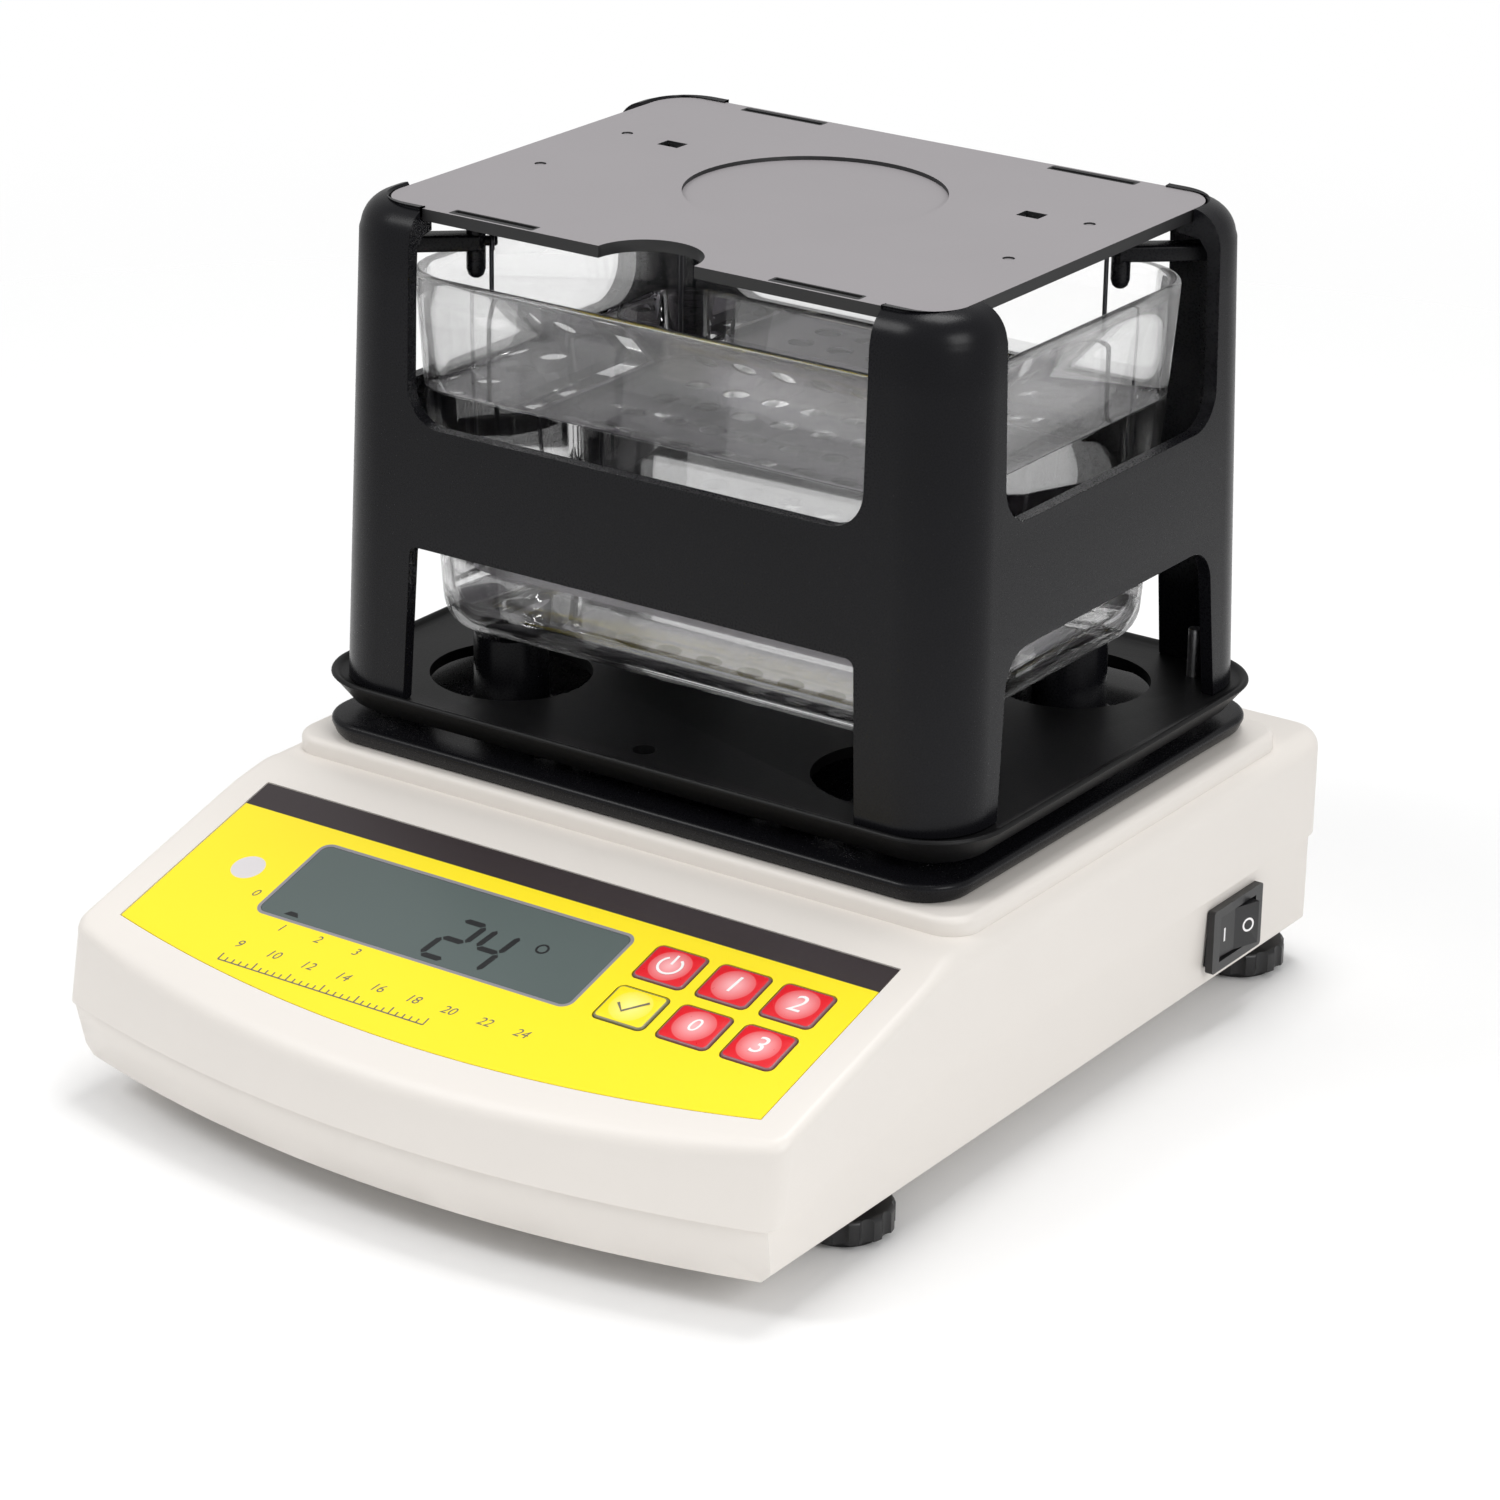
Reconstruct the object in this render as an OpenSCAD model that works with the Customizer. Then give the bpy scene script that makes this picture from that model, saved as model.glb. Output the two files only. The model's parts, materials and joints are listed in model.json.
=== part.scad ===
// Electronic gold tester: a density balance with a water tank inside a weighed frame.
// Millimetres, +Z up, the keypad faces -Y, z = 0 is the bench under the feet.

/* [Housing] */
// Width over the side walls of the upper housing
house_w = 182; // [176:1:190]
// Distance from the origin to the middle of the curved front
house_front = 117.4; // [112:0.2:122]
// Distance from the origin to the back wall
house_back = 117.4; // [114:0.2:126]
// Radius of the curved front, seen from above
front_r = 305; // [280:5:340]
// Wall thickness of both housing shells
case_wall = 2.5; // [2:0.1:3]
// Height of the case bottom over the bench
case_z = 9; // [8.6:0.1:12]
// Height of the deck behind the keypad
deck_z = 57.3; // [55:0.1:60]
// Height of the seam at the front
seam_front_z = 22; // [20:0.5:24]
// Height of the seam along the sides
seam_side_z = 33; // [31:0.5:35]
// Step of the lower shell inside the upper one
seam_step = 1; // [0.6:0.1:1.4]
// Draft of the lower front wall over its height
front_draft = 3; // [1:0.5:4]
// Lean of the upper front wall in degrees
front_lean = 10; // [6:1:12]
// Draft of the lower side walls over their height
side_draft = 1.4; // [0.8:0.1:2]
// Bevel along the bottom of the side walls
bottom_edge = 2.2; // [1:0.1:3]
// Rounding of the vertical back corners
back_corner_r = 8; // [6:1:12]
// Rounding of the back top edge
back_edge_r = 3; // [2:0.5:4]
// Rounding of the deck's side edges
deck_edge_r = 5; // [3:0.5:6]
// Rounding of the keypad slope's side edges
slope_edge_r = 2.2; // [1:0.1:3]

/* [Keypad slope] */
// Place of the ridge between slope and deck, from the origin
ridge_y = -38.7; // [-42:0.1:-36]
// Tilt of the keypad slope in degrees
slope_tilt = 16; // [14:0.5:18]
// Distance down the slope from the ridge to the zero of the panel layout
slope_len = 67.4; // [64:0.1:70]
// Half width of the printed overlay
overlay_hw = 82; // [78:0.5:86]
// Top edge of the overlay, up the slope
overlay_top = 59; // [56:0.5:62]
// Lowest point of the overlay's curved front edge
overlay_low = -1.8; // [-4:0.1:0]
// Radius of the overlay's curved front edge
overlay_r = 334; // [300:2:360]
// Thickness of the overlay
overlay_t = 0.5; // [0.3:0.1:0.6]
// Depth of the recess that takes the overlay
recess_d = 0.6; // [0.6:0.1:0.8]
// Gap round the overlay in its recess
overlay_gap = 0.3; // [0.2:0.05:0.5]

/* [Display] */
// Width of the display window
lcd_w = 81; // [76:1:84]
// Height of the display window
lcd_h = 24.2; // [22:0.2:26]
// Middle of the window across the slope
lcd_x = -15; // [-17:0.5:-14]
// Middle of the window up the slope
lcd_s = 33.9; // [33:0.1:35]
// Corner rounding of the window
lcd_r = 2; // [1:0.2:3]
// Thickness of the clear lens
lens_t = 1.5; // [1:0.1:1.8]
// Margin of the display module round the window
module_margin = 1.2; // [0.8:0.1:1.4]

/* [Keys] */
// Key width
key_w = 12.4; // [11:0.2:13]
// Key height
key_h = 10.9; // [10:0.1:11.4]
// Key pitch across
key_dx = 15.6; // [15:0.1:16]
// Key pitch up the slope
key_ds = 14.1; // [13.6:0.1:14.6]
// Middle of the left column of keys
key_x0 = 38.2; // [37.6:0.1:39]
// Middle of the lower row of keys
key_s0 = 26.7; // [26:0.1:28]
// Corner rounding of a key
key_r = 1.4; // [0.8:0.1:2]
// Gap round a key
key_gap = 0.35; // [0.3:0.05:0.45]
// Thickness of the flange that holds a key under the case wall
flange_t = 0.8; // [0.6:0.1:0.9]
// Width of that flange round the key
flange_w = 0.8; // [0.5:0.1:1]
// How far a key stands over the overlay
key_proud = 0.3; // [0.2:0.05:0.5]
// Travel of a key
key_travel = 0.4; // [0.3:0.05:0.5]

/* [Board] */
// Depth of the circuit board's top under the slope surface
board_n = 8.4; // [8.3:0.1:9]
// Thickness of the circuit board
board_t = 1.6; // [1:0.2:2]
// Half width of the board
board_hw = 80; // [78.5:0.5:81]
// Lower edge of the board up the slope
board_s0 = 14; // [12:0.5:15]
// Upper edge of the board up the slope
board_s1 = 52; // [50:0.5:54]
// Height of a push switch body
switch_h = 3.5; // [3:0.1:3.6]
// Radius of a push switch button
switch_r = 1.75; // [1.5:0.05:2]

/* [Power switch] */
// Middle of the rocker switch, from the origin
switch_y = 76.7; // [72:0.1:80]
// Height of the middle of the rocker switch
switch_z = 22.2; // [21:0.1:23]
// Bezel length
bezel_l = 21.6; // [20:0.2:22.4]
// Bezel height
bezel_h = 15; // [14.4:0.1:15.6]
// Bezel thickness
bezel_t = 1.8; // [1.4:0.1:2]
// Length of the switch body behind the wall
switch_body_l = 19; // [18:0.1:19.4]
// Height of the switch body behind the wall
switch_body_h = 13; // [12.4:0.1:13.2]
// Depth of the switch body
switch_body_d = 12; // [11:0.5:13]
// Rocker length
rocker_l = 14; // [13.4:0.1:14.4]
// Rocker width
rocker_w = 10; // [9.4:0.1:10.4]
// Throw of the rocker to each side, in degrees
rocker_half = 11; // [8:0.5:12]
// Radius of the rocker's pivot pins
pivot_r = 1; // [0.8:0.05:1.2]
// Running clearance of the pivot pins
pivot_gap = 0.06; // [0.04:0.01:0.09]

// Place of the power inlet across the back
inlet_x = -30; // [-45:1:-20]
// Height of the power inlet
inlet_z = 21; // [20:0.5:23]
// Outer radius of the power inlet
inlet_r = 5; // [4.5:0.1:5.5]

/* [Feet] */
// Half distance between left and right feet
foot_x = 77.5; // [75:0.1:79]
// Front feet, from the origin
foot_front_y = -58; // [-62:0.5:-54]
// Back feet, from the origin
foot_back_y = 104; // [100:0.5:105]
// Radius of the scalloped knob
knob_r = 10.5; // [9.5:0.1:11]
// Height of the knob's body
knob_h = 5.2; // [4.8:0.1:5.4]
// Radius of the rubber sole
sole_r = 8; // [7:0.1:9]
// Thickness of the rubber sole
sole_t = 1.6; // [1.2:0.1:1.8]
// Radius of the threaded stud
stud_r = 3; // [2.5:0.1:3.2]
// Length of the threaded stud
stud_l = 15; // [14:0.5:16]
// Running clearance of studs and swivels
stud_gap = 0.05; // [0.03:0.01:0.08]
// Thickness of the nut in the case
nut_h = 5; // [4:0.5:5]

/* [Tray and tank] */
// Middle of tray, tank and frame, from the origin
stand_y = 34.3; // [33.6:0.1:35]
// Half width of the plinth under the tray
plinth_hw = 87.5; // [86:0.5:88]
// Half depth of the plinth
plinth_hd = 67.3; // [66.8:0.1:68]
// Height of the plinth over the deck
plinth_h = 4; // [3.6:0.1:4.4]
// Half width of the tray
tray_hw = 82.5; // [81:0.5:84]
// Half depth of the tray
tray_hd = 66; // [65:0.5:66.5]
// Thickness of the tray
tray_t = 4.6; // [4:0.1:5]
// Half distance between tank posts, across
post_x = 50.5; // [49:0.5:52]
// Half distance between tank posts, front to back
post_y = 35; // [34:0.5:36]
// Radius of a tank post
post_r = 8.3; // [7.5:0.1:9]
// Height of the tank bottom
tank_z = 84; // [83:0.5:86]
// Height of the tank rim
tank_top = 166.6; // [164:0.2:167]
// Half width of the tank at its rim
tank_hw = 70.3; // [69.5:0.1:71]
// Half depth of the tank at its rim
tank_hd = 52.8; // [52:0.1:53.2]
// Draft of the tank walls over their height
tank_draft = 6; // [5:0.5:6.5]
// Wall thickness of the tank
tank_wall = 2.6; // [2.2:0.1:2.8]
// Corner rounding at the rim
tank_r_top = 15; // [14:1:17]
// Corner rounding at the bottom
tank_r_low = 10; // [9:0.5:11]

/* [Weighed frame] */
// Half width of the base plate over its rim
base_hw = 85.5; // [85:0.5:86.5]
// Half depth of the base plate over its rim
base_hd = 65.6; // [65.4:0.1:66.2]
// Flare of the base plate's rim
base_flare = 4.5; // [3:0.5:5]
// Height of the base plate's underside
base_z = 68.5; // [68.1:0.1:69]
// Height of the floor that the frame stands on
floor_z = 74.2; // [74:0.1:75]
// Height of the rim over that floor
rim_lip = 1.2; // [0.8:0.1:1.6]
// Thickness of the base plate's floor
base_t = 2.5; // [2:0.1:3]
// Radius of the holes round the tank posts
post_hole_r = 18; // [17:0.5:18.5]
// Half width of the frame at its foot
frame_hw = 81.4; // [80.5:0.1:82]
// Half depth of the frame at its foot
frame_hd = 63.2; // [62.8:0.1:63.4]
// Draft of the frame from foot to top
frame_draft = 2.8; // [2:0.1:3.2]
// Top of the frame's columns
frame_top = 183.4; // [183:0.1:184.4]
// Wall thickness of the frame
frame_wall = 3; // [2.6:0.1:3.2]
// Corner rounding of the frame
frame_r = 15; // [14:0.5:16]
// Rounding of the column tops
column_top_r = 7.5; // [6:0.5:8]
// Lower edge of the middle band
band_low = 109.7; // [108:0.1:112]
// Upper edge of the middle band
band_high = 136.8; // [135:0.1:139]
// Half width of the upper windows, front and back
win_front = 57.8; // [56:0.1:59]
// Half width of the upper windows, left and right
win_side = 42.3; // [41:0.1:43.4]
// Corner rounding of the windows
win_r = 8.5; // [7:0.5:10]

/* [Top plate] */
// Half width of the top plate
plate_hw = 71.3; // [70.5:0.1:71.6]
// Half depth of the top plate
plate_hd = 55.7; // [55:0.1:56]
// Thickness of the top plate
plate_t = 2.6; // [2.2:0.1:3]
// Height of the top plate's face
plate_top = 182.8; // [182.4:0.1:183.2]
// Corner rounding of the top plate
plate_r = 10; // [9:0.5:11]
// Gap round the top plate in the column tops
plate_gap = 0.5; // [0.4:0.05:0.7]
// Width of the ledge that carries the plate
ledge_w = 3.2; // [3:0.1:3.6]
// Radius of the finger notch
notch_r = 12; // [10:0.5:13]
// Radius of the shallow dish
dish_r = 28.5; // [26:0.5:30]
// Depth of the shallow dish
dish_d = 0.9; // [0.5:0.1:1.2]
// Middle of the dish behind the plate's middle
dish_y = 6; // [4:0.5:8]
// Length of a slot along the front and back edges
slot_l = 20.8; // [18:0.2:22]
// Middle of a slot from the plate's middle
slot_x = 40.5; // [39:0.1:42]

/* [Basket] */
// Height of the hanger arms' underside
arm_low = 170.2; // [169:0.1:172]
// Height of a hanger arm
arm_h = 3.6; // [3:0.1:4]
// Width of a hanger arm
arm_w = 5; // [4:0.5:6]
// Turn of the hanger arms from the long side, in degrees
arm_turn = 41; // [38:1:45]
// Radius of the peg at an arm's end
peg_r = 2.1; // [1.8:0.1:2.4]
// Height of the peg's lower end
peg_low = 166; // [164:0.5:168]
// Distance from the wire to the peg along the arm
peg_back = 3.4; // [3.2:0.1:4]
// Half distance between wires, across
wire_x = 55.4; // [54:0.1:56]
// Half distance between wires, front to back
wire_y = 35.1; // [34:0.1:36]
// Radius of a hanger wire
wire_r = 0.5; // [0.4:0.05:0.7]
// Height of the basket's underside
basket_z = 99; // [97:0.5:102]
// Thickness of the basket's floor
basket_t = 1.6; // [1.2:0.1:2]
// Depth of the basket
basket_h = 6; // [4:0.5:8]
// Margin of the basket outside the wires
basket_margin = 3; // [2.6:0.1:3.4]

/* [Load cell] */
// Length of the load cell
cell_l = 80; // [78:1:82]
// Width and height of the load cell
cell_w = 12.7; // [12:0.1:13]
// Height of the load cell's underside
cell_z = 22; // [20:0.5:23]
// Gap under the carrier that lets the cell bend
cell_gap = 0.75; // [0.72:0.01:0.9]
// Travel of the weighed frame at full load
weigh_travel = 0.4; // [0.3:0.05:0.42]
// Half width of the pan carrier
carrier_x = 28; // [27:0.5:30]
// Half depth of the pan carrier
carrier_y = 50; // [49:0.5:51]
// Radius of a support post
support_r = 4; // [3.5:0.1:4.4]
// Gap round a support post in deck and tray
support_gap = 2; // [1.5:0.1:2.2]

/* [Hidden] */
$fn = 64;
eps = 0.01;
big = 400;
half_w = house_w / 2;
arc_cy = front_r - house_front;
slope_drop = slope_len * sin(slope_tilt);
slope_run = slope_len * cos(slope_tilt);
lean = tan(front_lean);
lower_lean = front_draft / (seam_front_z - case_z);
deck_run = deck_edge_r / tan(slope_tilt) + 1;
panel_y = ridge_y - slope_run;
panel_z = deck_z - slope_drop;
plinth_z = deck_z + plinth_h;
tray_top = plinth_z + tray_t;
key_top_n = key_proud - (recess_d - overlay_t);
flange_n = -case_wall - 0.3;
key_low_n = flange_n - flange_t;
switch_top_n = -board_n + switch_h;
plunger_n = switch_top_n + 0.3 + key_travel;
boss_front = [62, -96.5];
boss_back = [62, 105.5];
boss_r = 4;
boss_z = 24;
screw_r = 1.5;
screw_gap = 0.05;
screw_head_r = 3;
stand = [0, stand_y];
tray_screw_x = 70;
tray_screw_y = 8;
// Frame screws: head, thread held by the frame
frame_head_r = 2.8;
frame_head_h = 2;
frame_grip = 11;
// Thread of a tray screw
tray_grip = 13;
// Lower windows: half widths, spread of the front and side ones at the floor, front corner
low_front = win_front - 0.8;
low_front_flare = 1.8;
low_front_r = 2;
low_side = win_side - 0.3;
low_side_flare = 3;
// Arm, as long as it takes to reach into its column
arm_l = (frame_hw - wire_x) / cos(arm_turn);
frame_boss_x = frame_hw - 10;
frame_boss_y = frame_hd - 10;
nut_z = 15;
foot_boss_r = 7.5;
cell_y0 = stand_y - cell_l / 2;
carrier_z = cell_z + cell_w + 5;
carrier_t = 3;
cell_free = cell_y0 + 10;
cell_fixed = cell_y0 + cell_l - 10;
frame_top_hw = frame_hw - frame_draft;
frame_top_hd = frame_hd - frame_draft;
plate_z = plate_top - plate_t;
rocker_x = half_w - seam_step + bezel_t - 1.2;
pocket_l = rocker_l + 1.6;
pocket_w = rocker_w + 0.7;
pin_r = 1.1;
wire_gap = 0.05;
hook_r = pin_r + wire_r + 0.02;
arm_z = arm_low + arm_h / 2;

// ---- shared shapes -------------------------------------------------------

// Rounded rectangle, half sizes hx and hy, corner radius r
module rr2(hx, hy, r) {
    square([2 * hx - 2 * r, 2 * hy], center = true);
    square([2 * hx, 2 * hy - 2 * r], center = true);
    for (x = [-1, 1], y = [-1, 1])
        translate([x * (hx - r), y * (hy - r)]) circle(r);
}

// Upright block on a rounded rectangle
module rr_block(hx, hy, r, z0, z1) {
    translate([0, 0, z0]) linear_extrude(z1 - z0) rr2(hx, hy, r);
}

// Block that tapers from rounded rectangle b to t, each [half x, half y, radius]
module flare(b, t, z0, z1) {
    hull()
        for (q = [[b, z0], [t, z1 - eps]], x = [-1, 1], y = [-1, 1])
            translate([x * (q[0][0] - q[0][2]), y * (q[0][1] - q[0][2]), q[1]])
                cylinder(r = q[0][2], h = eps, $fn = 48);
}

// Places children on the keypad slope: x across, y up the slope, z out of it
module on_slope() {
    translate([0, panel_y, panel_z]) rotate([slope_tilt, 0, 0]) children();
}

// Moves children to the middle of the tank stand
module on_stand() {
    translate([0, stand_y, 0]) children();
}

module at_corners(x, y) {
    for (i = [-1, 1], j = [-1, 1]) translate([i * x, j * y, 0]) children();
}

module at_bosses() {
    for (i = [-1, 1], b = [boss_front, boss_back]) translate([i * b[0], b[1], 0]) children();
}

// ---- housing -------------------------------------------------------------

// Solid behind the curved front: radius r0 at height z0, r1 at z1
module front_arc(r0, z0, r1, z1) {
    translate([0, arc_cy, 0])
        rotate_extrude($fn = 360) polygon([[0, z0], [r0, z0], [r1, z1], [0, z1]]);
}

// Plan of the housing without its front curve, inset by t
module case_plan(t) {
    hx = half_w - t;
    yb = house_back - t;
    r = back_corner_r - min(t, 4);
    translate([-hx, -house_front - 10]) square([2 * hx, yb + house_front + 10 - r]);
    translate([-hx + r, yb - 2 * r]) square([2 * (hx - r), 2 * r]);
    for (x = [-1, 1]) translate([x * (hx - r), yb - r]) circle(r);
}

// Points of a quarter round of radius r about c, from the direction +X to +Y, in flat steps
function quarter(c, r, steps) = [for (i = [0:steps]) c + r * [cos(90 * i / steps), sin(90 * i / steps)]];

// Side view of slope, deck and back wall, extruded across and inset by t
module roof(t) {
    ridge = [ridge_y + t * tan(slope_tilt / 2), deck_z - t];
    back = [house_back - t, deck_z - t];
    front = ridge - 100 * [cos(slope_tilt), sin(slope_tilt)];
    rotate([90, 0, 90]) translate([0, 0, -big / 2]) linear_extrude(big)
        polygon(concat([[front[0], 0], [back[0], 0]], quarter(back - [back_edge_r, back_edge_r], back_edge_r, 4), [ridge, front]));
}

// Bars that take the sharp edge off the top of both side walls, radius r, along +Y over the given length
module edge_bars(r, length) {
    p = quarter([0, 0], r, 4);
    low = p[0] + (p[0] - p[1]) / 3;
    high = p[4] + (p[4] - p[3]) / 3;
    for (x = [0, 1]) mirror([x, 0, 0]) translate([half_w - r, length, -r]) rotate([90, 0, 0])
        linear_extrude(length) polygon([low, p[1], p[2], p[3], high, [high[0], r + 2], [r + 2, r + 2], [r + 2, low[1]]]);
}

// Side view of the space above the seam, moved up by dz
module above_seam(dz) {
    rotate([90, 0, 90]) translate([0, 0, -big / 2]) linear_extrude(big)
        polygon([[-150, seam_front_z + dz], [-103, seam_front_z + dz], [-41, seam_side_z + dz],
                 [150, seam_side_z + dz], [150, 150], [-150, 150]]);
}

// Upper housing as a solid block, inset by t
module upper_block(t) {
    difference() {
        intersection() {
            front_arc(front_r - t + seam_front_z * lean, 0, front_r - t + (seam_front_z - 80) * lean, 80);
            linear_extrude(80) case_plan(t);
            roof(t);
        }
        if (t == 0) {
            translate([0, ridge_y - deck_run, deck_z]) edge_bars(deck_edge_r, 200);
            on_slope() translate([0, -40, 0]) edge_bars(slope_edge_r, slope_len + 44);
        }
    }
}

module overlay_outline(g) {
    intersection() {
        translate([-overlay_hw - g, overlay_low - 2]) square([2 * (overlay_hw + g), overlay_top + g - overlay_low + 2]);
        translate([0, overlay_low + overlay_r]) circle(overlay_r + g, $fn = 360);
    }
}

// Children at every key place: lower row enter, zero, three; upper row power, one, two
module at_key(col, row) {
    on_slope() translate([key_x0 + col * key_dx, key_s0 + row * key_ds, 0]) children();
}

module at_keys() {
    for (c = [0, 1, 2], r = [0, 1]) at_key(c, r) children();
}

module lcd_hole(g, z0, z1) {
    on_slope() translate([lcd_x, lcd_s, 0]) rr_block(lcd_w / 2 + g, lcd_h / 2 + g, lcd_r + g, z0, z1);
}

module upper_housing() color("#ebe7e0") {
    difference() {
        union() {
            intersection() {
                difference() {
                    upper_block(0);
                    upper_block(case_wall);
                }
                above_seam(0);
            }
            on_stand() {
                rr_block(plinth_hw, plinth_hd, 7, deck_z - case_wall / 2, plinth_z - 1.5);
                translate([0, 0, plinth_z - 1.5]) rr_block(plinth_hw - 1.5, plinth_hd - 1.5, 5.5, 0, 1.5);
            }
            intersection() {
                at_bosses() translate([0, 0, boss_z]) cylinder(r = boss_r, h = deck_z - boss_z);
                upper_block(case_wall / 2);
            }
            intersection() {
                board_bosses();
                upper_block(case_wall / 2);
            }
            on_stand() at_corners(tray_screw_x, tray_screw_y)
                translate([0, 0, deck_z - 12]) cylinder(r = 3.5, h = 12 - case_wall / 2);
        }
        on_slope() translate([0, 0, -recess_d]) linear_extrude(10) overlay_outline(overlay_gap);
        at_keys() rr_block(key_w / 2 + key_gap, key_h / 2 + key_gap, key_r + key_gap, -case_wall - 1, 1);
        lcd_hole(0.3, -case_wall - 1, 1);
        on_stand() at_corners(carrier_x, carrier_y)
            translate([0, 0, deck_z - 10]) cylinder(r = support_r + support_gap, h = 20);
        on_stand() at_corners(tray_screw_x, tray_screw_y)
            translate([0, 0, deck_z - 9]) cylinder(r = screw_r + screw_gap, h = 30);
        at_bosses() translate([0, 0, boss_z - 1]) cylinder(r = screw_r + screw_gap, h = 11);
        on_slope() board_holes(-board_n - 1, -case_wall);
        at_keys() rr_block(key_w / 2 + flange_w + key_gap, key_h / 2 + flange_w + key_gap, key_r,
            key_low_n - key_travel - key_gap, flange_n + wire_gap);
    }
}

module board_bosses() {
    on_slope() for (x = [-1, 1], s = [board_s0 + 3, board_s1 - 3])
        translate([x * (board_hw - 3), s, -board_n]) cylinder(r = 3, h = board_n - case_wall / 2);
}

module board_holes(z0, z1) {
    for (x = [-1, 1], s = [board_s0 + 3, board_s1 - 3])
        translate([x * (board_hw - 3), s, z0]) cylinder(r = 1 + screw_gap, h = z1 - z0);
}

// Lower housing as a solid block, inset by t
module lower_block(t, z0) {
    r = front_r - seam_step - t;
    hx = half_w - seam_step - t;
    intersection() {
        front_arc(r - (seam_front_z - z0) * lower_lean, z0, r + (60 - seam_front_z) * lower_lean, 60);
        front_arc(r, z0 - 1, r, 61);
        translate([0, 0, z0]) linear_extrude(50) case_plan(seam_step + t);
        rotate([90, 0, 0]) translate([0, 0, -big / 2]) linear_extrude(big)
            polygon([[-hx + side_draft + bottom_edge, z0], [hx - side_draft - bottom_edge, z0],
                     [hx - side_draft, z0 + bottom_edge], [hx, seam_side_z], [hx, 60], [-hx, 60],
                     [-hx, seam_side_z], [-hx + side_draft, z0 + bottom_edge]]);
    }
}

module at_feet() {
    for (x = [-1, 1], y = [foot_front_y, foot_back_y]) translate([x * foot_x, y, 0]) children();
}

module lower_housing() color("#e6e2da") {
    difference() {
        union() {
            difference() {
                lower_block(0, case_z);
                lower_block(case_wall, case_z + case_wall);
                above_seam(0);
            }
            intersection() {
                union() {
                    at_feet() translate([0, 0, case_z]) cylinder(r = foot_boss_r, h = nut_z + nut_h - case_z);
                    at_bosses() translate([0, 0, case_z]) cylinder(r = boss_r, h = boss_z - case_z);
                    translate([-cell_w, cell_fixed - 13, case_z]) cube([2 * cell_w, 26, 3.5]);
                }
                lower_block(case_wall / 2, case_z);
            }
        }
        at_feet() translate([0, 0, case_z - 1]) cylinder(r = stud_r + 0.6, h = 30);
        at_feet() translate([0, 0, nut_z]) cylinder(r = 5.6, h = 20);
        at_bosses() translate([0, 0, case_z - 1]) cylinder(r = screw_r + 0.3, h = 30);
        at_bosses() translate([0, 0, case_z - 1]) cylinder(r = screw_head_r + 0.4, h = 4);
        for (y = [-4, 4]) translate([0, cell_fixed + y, case_z - 1]) cylinder(r = 2.3, h = 12);
        for (y = [-4, 4]) translate([0, cell_fixed + y, case_z - 1]) cylinder(r = 3.8, h = 2.6);
        translate([half_w - 12, switch_y - switch_body_l / 2 - 0.15, switch_z - switch_body_h / 2 - 0.15])
            cube([20, switch_body_l + 0.3, switch_body_h + 0.3]);
        translate([inlet_x, house_back + 2, inlet_z]) rotate([90, 0, 0]) cylinder(r = inlet_r + 0.1, h = 10);
    }
}

module case_screws() color("#8a8c90") {
    at_bosses() {
        translate([0, 0, case_z + 0.4]) cylinder(r = screw_head_r, h = 2.2);
        translate([0, 0, case_z + 2.6]) cylinder(r = screw_r, h = boss_z + 9 - case_z - 2.6);
    }
}

module foot_nuts() color("#b9bcc0") {
    at_feet() translate([0, 0, nut_z]) difference() {
        cylinder(r = 5.55, h = nut_h);
        translate([0, 0, -1]) cylinder(r = stud_r + stud_gap, h = nut_h + 2);
    }
}

// ---- keypad --------------------------------------------------------------

module keypad_overlay() color("#fff032") {
    difference() {
        on_slope() translate([0, 0, -recess_d]) linear_extrude(overlay_t) overlay_outline(0);
        at_keys() rr_block(key_w / 2 + key_gap, key_h / 2 + key_gap, key_r + key_gap, -2, 2);
        lcd_hole(0, -2, 2);
    }
}

module lcd_lens() color([0.62, 0.66, 0.66, 0.6]) {
    lcd_hole(-0.1, -recess_d + overlay_t - 0.05 - lens_t, -recess_d + overlay_t - 0.05);
}

module lcd_module() color("#69737a") {
    on_slope() translate([lcd_x, lcd_s, 0]) {
        rr_block(lcd_w / 2 + module_margin, lcd_h / 2 + module_margin, 1, -board_n, -3.2);
        rr_block(lcd_w / 2 - 2, lcd_h / 2 - 2, 1, -3.2, -2.2);
    }
}

module main_board() color("#2f6b46") {
    on_slope() difference() {
        translate([-board_hw, board_s0, -board_n - board_t]) cube([2 * board_hw, board_s1 - board_s0, board_t]);
        board_holes(-board_n - board_t - 1, -board_n + 1);
    }
}

module board_screws() color("#b9bcc0") {
    on_slope() for (x = [-1, 1], s = [board_s0 + 3, board_s1 - 3])
        translate([x * (board_hw - 3), s, -board_n - board_t]) {
            translate([0, 0, -1.4]) cylinder(r = 2, h = 1.4);
            cylinder(r = 1, h = board_t + 3.6);
        }
}

module key_switches() color("#26272b") {
    at_keys() {
        translate([-3, -3, -board_n]) cube([6, 6, switch_h - 1]);
        translate([0, 0, -board_n + switch_h - 1]) cylinder(r = switch_r, h = 1);
    }
}

// One key pad with its flange and the stem that presses its switch
module key_pad() {
    rr_block(key_w / 2, key_h / 2, key_r, key_low_n, key_top_n);
    rr_block(key_w / 2 + flange_w, key_h / 2 + flange_w, key_r, key_low_n, flange_n);
    translate([0, 0, plunger_n]) cylinder(r = switch_r, h = key_low_n - plunger_n + eps);
}

module key_power() color("#e11b22") at_key(0, 1) key_pad();
module key_one() color("#e11b22") at_key(1, 1) key_pad();
module key_two() color("#e11b22") at_key(2, 1) key_pad();
module key_enter() color("#f4e436") at_key(0, 0) key_pad();
module key_zero() color("#e11b22") at_key(1, 0) key_pad();
module key_three() color("#e11b22") at_key(2, 0) key_pad();

// ---- power ---------------------------------------------------------------

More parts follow.
